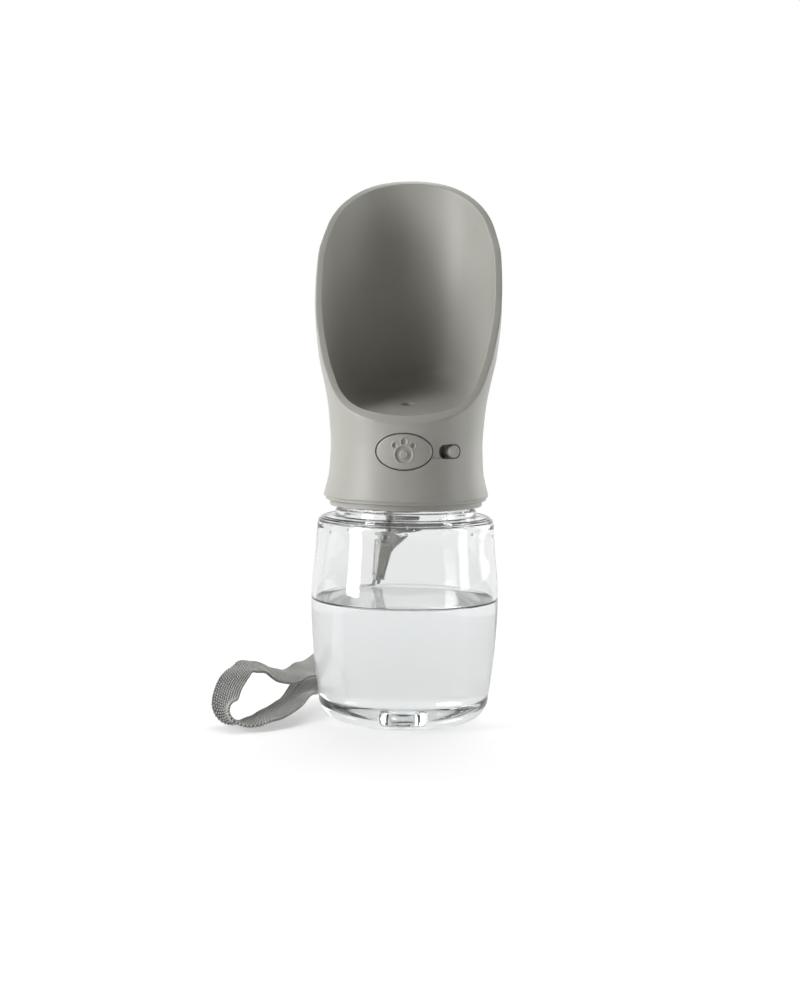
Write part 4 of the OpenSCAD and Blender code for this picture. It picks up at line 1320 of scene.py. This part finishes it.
def tube_rings(line, radius, sides, first_way, last_way):
    """Rings of points round a line, square to it."""
    rings = []
    for i, here in enumerate(line):
        along = line[min(i + 1, len(line) - 1)] - line[max(i - 1, 0)]
        if i == 0:
            along = np.array(first_way, float)
        if i == len(line) - 1:
            along = np.array(last_way, float)
        along = along / np.linalg.norm(along)
        side = np.cross(along, [1, 0, 0])
        side = side / np.linalg.norm(side)
        up = np.cross(side, along)
        angles = np.linspace(0, math.tau, sides, endpoint=False)
        rings.append([here + radius * (math.cos(a) * side + math.sin(a) * up) for a in angles])
    return rings


class HangTube(bpy.types.Operator):
    """Hang the clear dip tube and its tapered weight in the bottle"""

    bl_idname = "water_bottle.tube"
    bl_label = "Dip tube and weight"

    def execute(self, context):
        silicone = clear_silicone("Clear silicone tube")
        line = smooth(TUBE_ROUTE, 6)
        outer = tube_rings(line, TUBE_R, 24, (0, 0, -1), WEIGHT_DOWN)
        bore = tube_rings(line, TUBE_R - TUBE_WALL, 24, (0, 0, -1), WEIGHT_DOWN)
        rings = [*outer, *reversed(bore), outer[0]]
        tube = swept("dip_tube_hose", rings, silicone, closed_ends=False)

        plastic = satin_abs("Satin grey ABS of the weight", linear("#C2C1BC"), 0.4)
        weight = tapered_weight(plastic)
        bubbles = tip_bubbles()
        dressed(weight, "head", "weight_plastic", "tube_weight")
        dressed(bubbles, "head", "clear_plastic")
        dressed(tube, "head", "tube_plastic", "dip_tube")
        return {"FINISHED"}


def weight_matrix():
    """Where the weight hangs: its top is the origin, and it points down."""
    sideways = Matrix.Rotation(math.radians(WEIGHT_LEAN[1]), 4, "Y")
    backwards = Matrix.Rotation(math.radians(WEIGHT_LEAN[0]), 4, "X")
    turn = Matrix.Rotation(math.radians(WEIGHT_TURN), 4, "Z")
    return Matrix.Translation(Vector(WEIGHT_AT * MM)) @ sideways @ backwards @ turn


def tapered_weight(plastic):
    """Tapered block with a panel sunk in each side and rounded edges."""
    form = bmesh.new()
    bmesh.ops.create_cube(form, size=1)
    for v in form.verts:
        side = WEIGHT_TOP if v.co.z > 0 else WEIGHT_TIP
        v.co = Vector((v.co.x * side, v.co.y * side, -WEIGHT_L if v.co.z < 0 else 0)) * MM
    bmesh.ops.recalc_face_normals(form, faces=form.faces)
    sides = [f for f in form.faces if abs(f.normal.z) < 0.5]
    bmesh.ops.inset_individual(form, faces=sides, thickness=0.85 * MM, depth=0)
    bmesh.ops.inset_individual(form, faces=sides, thickness=0.12 * MM, depth=-0.4 * MM)
    rim = [
        e for e in form.edges
        if all(not (f in sides) for f in e.link_faces) and e.calc_face_angle(0) > 0.6
    ]
    bmesh.ops.bevel(form, geom=rim, offset=0.35 * MM, segments=3, profile=0.5, affect="EDGES")
    mesh = bpy.data.meshes.new("tube_weight_block")
    form.to_mesh(mesh)
    form.free()
    weight = bpy.data.objects.new("tube_weight_block", mesh)
    bpy.context.scene.collection.objects.link(weight)
    mesh.materials.append(plastic)
    below = -WEIGHT_L - 1
    bore_r = 1.22
    bore_top = SLUG_START + SLUG_L - WEIGHT_L
    bore = spun("cutter", [(0, below), (bore_r, below), (bore_r, bore_top), (0, bore_top)], plastic, 32)
    carved(weight, bore)
    tidy_mesh(weight, 30)
    return placed(weight, weight_matrix())


def tip_bubbles():
    """Small drops that cling to the weight's lower end."""
    tip = WEIGHT_TIP / 2 + 0.1
    skin = block("weight_drops", (-tip, -tip, -WEIGHT_L - 0.1), (tip, tip, -WEIGHT_L + 3.2), 0, None)
    bead = half_bead("drop_shape", 1.0, 1.0, 0.45, sides=8)
    water = clear_water("Water drops")
    drops = grown("weight_drops", skin, scattering_tree(), {
        "Copy": bead, "Density": 0.9e6, "Smallest": 0.45, "Largest": 0.8, "Seed": 7, "Finish": water,
    })
    bpy.data.objects.remove(bead)
    return placed(drops, weight_matrix())


# The wrist strap

TAB_DROP = np.array([3.4, -14.6]) / math.hypot(3.4, 14.6)
TAB_OUT = np.array([-TAB_DROP[1], TAB_DROP[0]])
TAB_L = 15
TAB_END = np.array([LUG_Y, LUG_Z]) + TAB_L * TAB_DROP
PLY_SHIFT = (STRAP_T + 0.1) / 2
START_A = np.array([0, *(TAB_END - PLY_SHIFT * TAB_OUT)])
START_B = np.array([0, *(TAB_END + PLY_SHIFT * TAB_OUT)])
STRAP_DOWN = np.array([0, *TAB_DROP])
STRAP_ROUTE = [
    (*START_A, 0), (*(START_A + 4 * STRAP_DOWN), 0), (-2, 38.3, 75.4, 8), (-5.4, 39.6, 71.2, 26),
    (-9.6, 41.3, 66, 51), (-12.1, 42.2, 60, 74), (-13.7, 42.7, 54, 87), (-15.6, 42.8, 47, 90),
    (-19.5, 42, 39, 86), (-25.5, 39.3, 30, 76), (-32.3, 32, 21.5, 64),
    (-38.1, 23, 15.9, 57), (-42.6, 14, 14.6, 68), (-46.9, 6, 14.1, 78), (-51.8, -1, 15.9, 89),
    (-57.2, -8, 20, 97), (-61.5, -13, 21.1, 74), (-64.4, -16.5, 19.2, 50), (-67, -20, 15.7, 33),
    (-68.3, -23, 11.5, 26), (-68.4, -26, 8, 31), (-66.8, -28.5, 5.2, 50), (-63.8, -30, 3.3, 74),
    (-60, -30, 2.6, 90), (-56.3, -28.6, 2.9, 99), (-52.4, -25, 4, 104), (-48.4, -19, 5, 108),
    (-44.6, -9, 6.4, 113), (-41.8, 6, 8, 118), (-38.6, 24, 9, 123), (-35, 35, 12.5, 120),
    (-29.5, 43.5, 19, 108), (-22.6, 47.9, 29.5, 99), (-17, 49, 39.5, 94), (-13.5, 49.2, 47, 91),
    (-11.9, 49.2, 54, 93), (-10.2, 49.2, 60.5, 104), (-7.9, 48.4, 66.5, 124), (-4.8, 45.6, 72.4, 150),
    (-1.9, 42, 77.6, 169),
    (*(START_B + 2.5 * STRAP_DOWN + np.array([0, 0.3, 0])), 180), (*START_B, 180),
]


def strap_frames(line, first_way=None, last_way=None):
    """For each point of a flat line: its direction, its wide way and its thick way."""
    frames = []
    for i in range(len(line)):
        along = line[min(i + 1, len(line) - 1), :3] - line[max(i - 1, 0), :3]
        if i == 0 and first_way is not None:
            along = first_way
        if i == len(line) - 1 and last_way is not None:
            along = last_way
        along = along / np.linalg.norm(along)
        flat = np.array([-along[2], 0, along[0]])
        if np.linalg.norm(flat) < 0.05:
            flat = np.array([1.0, 0, 0])
        flat = flat / np.linalg.norm(flat)
        near = np.cross(along, flat)
        turn = math.radians(line[i, 3])
        wide = math.cos(turn) * flat + math.sin(turn) * near
        frames.append((along, wide, np.cross(along, wide)))
    return frames


def webbing(name, line, frames, core_t, material):
    """The strap's flat core: a thin band with rounded edges."""
    half_w = STRAP_W / 2 - 0.35
    half_t = core_t / 2
    centre = half_w - half_t
    section = arc((centre, 0), half_t, -90, 90, 6) + arc((-centre, 0), half_t, 90, 270, 6)
    rings = []
    for here, (_, wide, thick) in zip(line, frames):
        rings.append([here[:3] + a * wide + b * thick for a, b in section])
    return swept(name, rings, material)


def braid(name, line, frames, core_t, settings, material):
    """Yarn over yarn on both faces of the core: columns that lean left and right in turn."""
    steps = np.linalg.norm(np.diff(line[:, :3], axis=0), axis=1)
    along_line = np.concatenate([[0], np.cumsum(steps)])
    pitch = settings.yarn_pitch / MM
    columns = settings.yarn_columns
    across = (STRAP_W - 0.9) / (columns - 1)
    lean = math.radians(32)
    middles = np.array([f[1] for f in frames])
    thicks = np.array([f[2] for f in frames])
    alongs = np.array([f[0] for f in frames])

    def at(values, s):
        return np.array([np.interp(s, along_line, values[:, i]) for i in range(3)])

    points, outs, lays = [], [], []
    for face in (-1, 1):
        for column in range(columns):
            offset = (column - (columns - 1) / 2) * across
            start = pitch / 2 * (1 + column % 2)
            for s in np.arange(start, along_line[-1] - pitch / 2, pitch):
                wide, thick, along = at(middles, s), at(thicks, s), at(alongs, s)
                sign = 1 if column % 2 else -1
                points.append(at(line[:, :3], s) + offset * wide + face * core_t / 2 * thick)
                outs.append(face * thick)
                lays.append(math.cos(lean) * along + sign * math.sin(lean) * wide)
    for edge in (-1, 1):
        for s in np.arange(pitch, along_line[-1] - pitch / 2, pitch):
            wide, along = at(middles, s), at(alongs, s)
            points.append(at(line[:, :3], s) + edge * (STRAP_W / 2 - 0.38) * wide)
            outs.append(edge * wide)
            lays.append(along)
    bead = half_bead("yarn_shape", pitch * 1.12, across * 0.84, YARN_H)
    sizes = np.ones(len(points))
    base = cloud(name, points, outs, lays, sizes)
    yarns = grown(name, base, copying_tree(), {"Copy": bead, "Finish": material})
    bpy.data.objects.remove(bead)
    return yarns


class BraidStrap(bpy.types.Operator):
    """Lay the braided wrist strap on its route, with its sewn end round the pin"""

    bl_idname = "water_bottle.strap"
    bl_label = "Wrist strap"

    def execute(self, context):
        settings = context.scene.strap_settings
        # The core band's near-black colour is painted shade: it fills the gaps between the yarns with shade.
        dark = polyester_yarn("Braid core, painted shade between the yarns", linear("#3E3D3B"))
        yarn = polyester_yarn("Braided polyester yarn", settings.yarn)
        core_t = STRAP_T - 2 * YARN_H
        line = smooth(STRAP_ROUTE, 10)
        frames = strap_frames(line, STRAP_DOWN, -STRAP_DOWN)
        core = webbing("strap_webbing", line, frames, core_t, dark)
        yarns = braid("strap_braid", line, frames, core_t, settings, yarn)
        fold_line, fold_frames = strap_fold()
        fold_core = webbing("strap_fold_core", fold_line, fold_frames, core_t, dark)
        fold_yarns = braid("strap_fold_braid", fold_line, fold_frames, core_t, settings, yarn)
        fold = joined("strap_end_fold", [fold_core, fold_yarns])
        stitches = strap_stitches()
        dressed(yarns, "head", "webbing")
        dressed(fold, "head", "webbing", "strap_tab")
        dressed(stitches, "head", "thread", "strap_stitches")
        dressed(core, "head", "webbing", "strap_loop")
        return {"FINISHED"}


def strap_fold():
    """The doubled end: up the front ply, round the pin and down the back ply."""
    lug = np.array([LUG_Y, LUG_Z])
    turn_r = PLY_SHIFT + 1.15
    places = []
    for s in np.linspace(TAB_L - 0.2, 4.5, 12):
        places.append(lug + s * TAB_DROP - PLY_SHIFT * TAB_OUT)
    angle_out = math.atan2(TAB_OUT[1], TAB_OUT[0])
    for a in np.linspace(math.pi * 1.12, -0.12 * math.pi, 20):
        places.append(lug + turn_r * np.array([math.cos(angle_out + a), math.sin(angle_out + a)]))
    for s in np.linspace(4.5, TAB_L - 0.2, 12):
        places.append(lug + s * TAB_DROP + PLY_SHIFT * TAB_OUT)
    line = np.array([(0, y, z, 0) for y, z in places])
    frames = []
    for i in range(len(line)):
        along = line[min(i + 1, len(line) - 1), :3] - line[max(i - 1, 0), :3]
        along = along / np.linalg.norm(along)
        wide = np.array([1.0, 0, 0])
        frames.append((along, wide, np.cross(along, wide)))
    return line, frames


def strap_stitches():
    """Two rows of dark stitches through the doubled end, on both faces."""
    thread = polyester_yarn("Dark sewing thread", linear("#3A3A38"))
    bead = half_bead("stitch_shape", 1.5, 0.5, 0.3, sides=8)
    points, outs, lays = [], [], []
    for row in (6.5, 12.5):
        for i in range(6):
            x = (i - 2.5) * (STRAP_W - 2.4) / 5
            for face in (-1, 1):
                foot = np.array([LUG_Y, LUG_Z]) + row * TAB_DROP + face * (STRAP_T + 0.05) * TAB_OUT
                points.append((x, *foot))
                outs.append((0, *(face * TAB_OUT)))
                lays.append((1, 0, 0))
    base = cloud("strap_sewing", points, outs, lays, np.ones(len(points)))
    sewn = grown("strap_sewing", base, copying_tree(), {"Copy": bead, "Finish": thread})
    bpy.data.objects.remove(bead)
    return sewn


# Floor, lamps and camera

# The camera's turns to the left, down and about its view in degrees, and its place in metres
CAMERA_TURN = (2.1, 4.654, 0.75)
CAMERA_AWAY = 0.650
CAMERA_LEFT = 0.00239
CAMERA_H = 0.143


def softbox(name, place, aim, width, height, power):
    """A rectangular lamp that faces a point; places are in metres."""
    lamp = bpy.data.lights.new(name, "AREA")
    lamp.shape = "RECTANGLE"
    lamp.size = width
    lamp.size_y = height
    lamp.energy = power
    obj = bpy.data.objects.new(name, lamp)
    obj.location = place
    obj.rotation_euler = (Vector(aim) - Vector(place)).to_track_quat("-Z", "Y").to_euler()
    bpy.context.scene.collection.objects.link(obj)
    return obj


def studio_world():
    """A pale room: light behind the object, dim behind the camera, and white where the camera looks."""
    world = bpy.data.worlds.new("Pale studio")
    bpy.context.scene.world = world
    world.use_nodes = True
    tree = world.node_tree
    tree.nodes.clear()
    way = add_node(tree, "ShaderNodeTexCoord").outputs["Generated"]
    depth = add_node(tree, "ShaderNodeSeparateXYZ", {0: way}).outputs["Y"]
    room = add_node(
        tree, "ShaderNodeMapRange",
        {"Value": depth, "From Min": -0.35, "From Max": 0.8, "To Min": 0.035, "To Max": 0.96},
        interpolation_type="SMOOTHSTEP",
    )
    rays = add_node(tree, "ShaderNodeLightPath").outputs
    light = add_node(tree, "ShaderNodeBackground", {"Strength": room.outputs["Result"]})
    seen = add_node(tree, "ShaderNodeBackground", {"Strength": 1.0})
    for node in (light, seen):
        node.inputs["Color"].default_value = (1, 1, 1, 1)
    mixed = add_node(
        tree, "ShaderNodeMixShader",
        {0: rays["Is Camera Ray"], 1: light.outputs[0], 2: seen.outputs[0]},
    )
    add_node(tree, "ShaderNodeOutputWorld", {"Surface": mixed.outputs[0]})


def studio_floor(settings):
    """A wide pale sheet that keeps the object's shadow and fades to the white room."""
    half = 2500
    corners = [(-half, -half, 0), (half, -half, 0), (half, half, 0), (-half, half, 0)]
    floor = mesh_object("studio_floor", corners, [(0, 1, 2, 3)])
    material, tree, surface, place = new_material("Pale paper sweep")
    surface.inputs["Base Color"].default_value = settings.floor
    surface.inputs["Roughness"].default_value = 0.9
    surface.inputs["Specular IOR Level"].default_value = 0.2
    away = add_node(tree, "ShaderNodeVectorMath", {0: place}, operation="LENGTH")
    fade = add_node(
        tree, "ShaderNodeMapRange", {"Value": away.outputs["Value"], "From Min": 0.12, "From Max": 0.42},
        interpolation_type="SMOOTHSTEP",
    )
    rays = add_node(tree, "ShaderNodeLightPath").outputs
    looks = rays["Is Camera Ray"]
    for kind in ("Is Glossy Ray", "Is Transmission Ray"):
        looks = add_node(tree, "ShaderNodeMath", {0: looks, 1: rays[kind]}, operation="MAXIMUM").outputs[0]
    share = add_node(tree, "ShaderNodeMath", {0: looks, 1: fade.outputs[0]}, operation="MULTIPLY")
    seen = add_node(
        tree, "ShaderNodeMapRange", {"Value": rays["Is Camera Ray"], "To Min": 0.93, "To Max": 1.0}
    )
    white = add_node(tree, "ShaderNodeEmission", {"Strength": seen.outputs[0]})
    most = add_node(
        tree, "ShaderNodeMapRange", {"Value": rays["Is Camera Ray"], "To Min": 0.3, "To Max": 1.0}
    )
    some = add_node(tree, "ShaderNodeMath", {0: looks, 1: most.outputs[0]}, operation="MULTIPLY")
    lift = add_node(
        tree, "ShaderNodeMath", {0: some.outputs[0], 1: settings.floor_lift}, operation="MULTIPLY"
    )
    glow = add_node(tree, "ShaderNodeEmission", {"Strength": lift.outputs[0]})
    near = add_node(tree, "ShaderNodeAddShader", {0: surface.outputs[0], 1: glow.outputs[0]})
    both = add_node(
        tree, "ShaderNodeMixShader",
        {0: share.outputs[0], 1: near.outputs[0], 2: white.outputs[0]},
    )
    ends_in(tree, both)
    floor.data.materials.append(material)


class SetStage(bpy.types.Operator):
    """Set the floor, the lamps and the camera at the photograph's angle"""

    bl_idname = "water_bottle.stage"
    bl_label = "Stage"

    def execute(self, context):
        settings = context.scene.stage_settings
        camera = bpy.data.cameras.new("photo_camera")
        camera.sensor_fit = "VERTICAL"
        camera.sensor_width = 36
        camera.sensor_height = 36
        camera.lens = settings.lens / MM
        view = bpy.data.objects.new("photo_camera", camera)
        context.scene.collection.objects.link(view)
        context.scene.camera = view
        yaw, pitch, roll = (math.radians(a) for a in CAMERA_TURN)
        ahead = Vector((-math.sin(yaw), math.cos(yaw), 0))
        right = Vector((math.cos(yaw), math.sin(yaw), 0))
        forward = (ahead * math.cos(pitch) - Vector((0, 0, math.sin(pitch)))).normalized()
        up = right.cross(forward)
        tilted_right = right * math.cos(roll) + up * math.sin(roll)
        tilted_up = up * math.cos(roll) - right * math.sin(roll)
        axes = Matrix((tilted_right, tilted_up, -forward)).transposed()
        place = -CAMERA_AWAY * ahead - CAMERA_LEFT * right + Vector((0, 0, CAMERA_H))
        view.matrix_world = Matrix.Translation(place) @ axes.to_4x4()

        middle = (0, 0, 0.11)
        softbox("left_softbox", (-0.78, -0.38, 0.42), middle, 0.30, 0.9, settings.left_power)
        softbox("right_softbox", (0.86, -0.14, 0.40), middle, 0.24, 0.8, settings.right_power)
        softbox("right_panel", (0.66, 0.50, 0.40), middle, 0.5, 0.8, settings.panel_power)
        softbox("top_softbox", (0.05, 0.75, 1.05), middle, 1.0, 0.6, settings.top_power)
        studio_world()
        studio_floor(settings)
        context.scene.view_settings.view_transform = "Standard"
        return {"FINISHED"}


class BottlePanel(bpy.types.Panel):
    """Lists the bottle's settings and the steps that build it"""

    bl_idname = "VIEW3D_PT_water_bottle"
    bl_label = "Travel water bottle"
    bl_space_type = "VIEW_3D"
    bl_region_type = "UI"
    bl_category = "Water bottle"

    def draw(self, context):
        for name in SETTINGS:
            box = self.layout.box()
            group = getattr(context.scene, name)
            for field in group.__annotations__:
                box.prop(group, field)
        for step in STEPS:
            self.layout.operator(step.bl_idname)


SETTINGS = {
    "bottle_settings": BottleSettings,
    "head_settings": HeadSettings,
    "strap_settings": StrapSettings,
    "stage_settings": StageSettings,
}
STEPS = (
    SetStage, BraidStrap, HangTube, BuildBottle, PourWater, BuildHead, BuildCollar, BuildButton,
    BuildLock, FitValve,
)


def register():
    """Registers the settings, the steps and the panel."""
    for name, group in SETTINGS.items():
        bpy.utils.register_class(group)
        setattr(bpy.types.Scene, name, bpy.props.PointerProperty(type=group))
    for step in STEPS:
        bpy.utils.register_class(step)
    bpy.utils.register_class(BottlePanel)


def unregister():
    """Takes everything out again that register put in."""
    bpy.utils.unregister_class(BottlePanel)
    for step in reversed(STEPS):
        bpy.utils.unregister_class(step)
    for name, group in SETTINGS.items():
        delattr(bpy.types.Scene, name)
        bpy.utils.unregister_class(group)


def main():
    """Builds the bottle."""
    register()
    for step in STEPS:
        group, name = step.bl_idname.split(".")
        getattr(getattr(bpy.ops, group), name)()


if __name__ == "__main__":
    main()
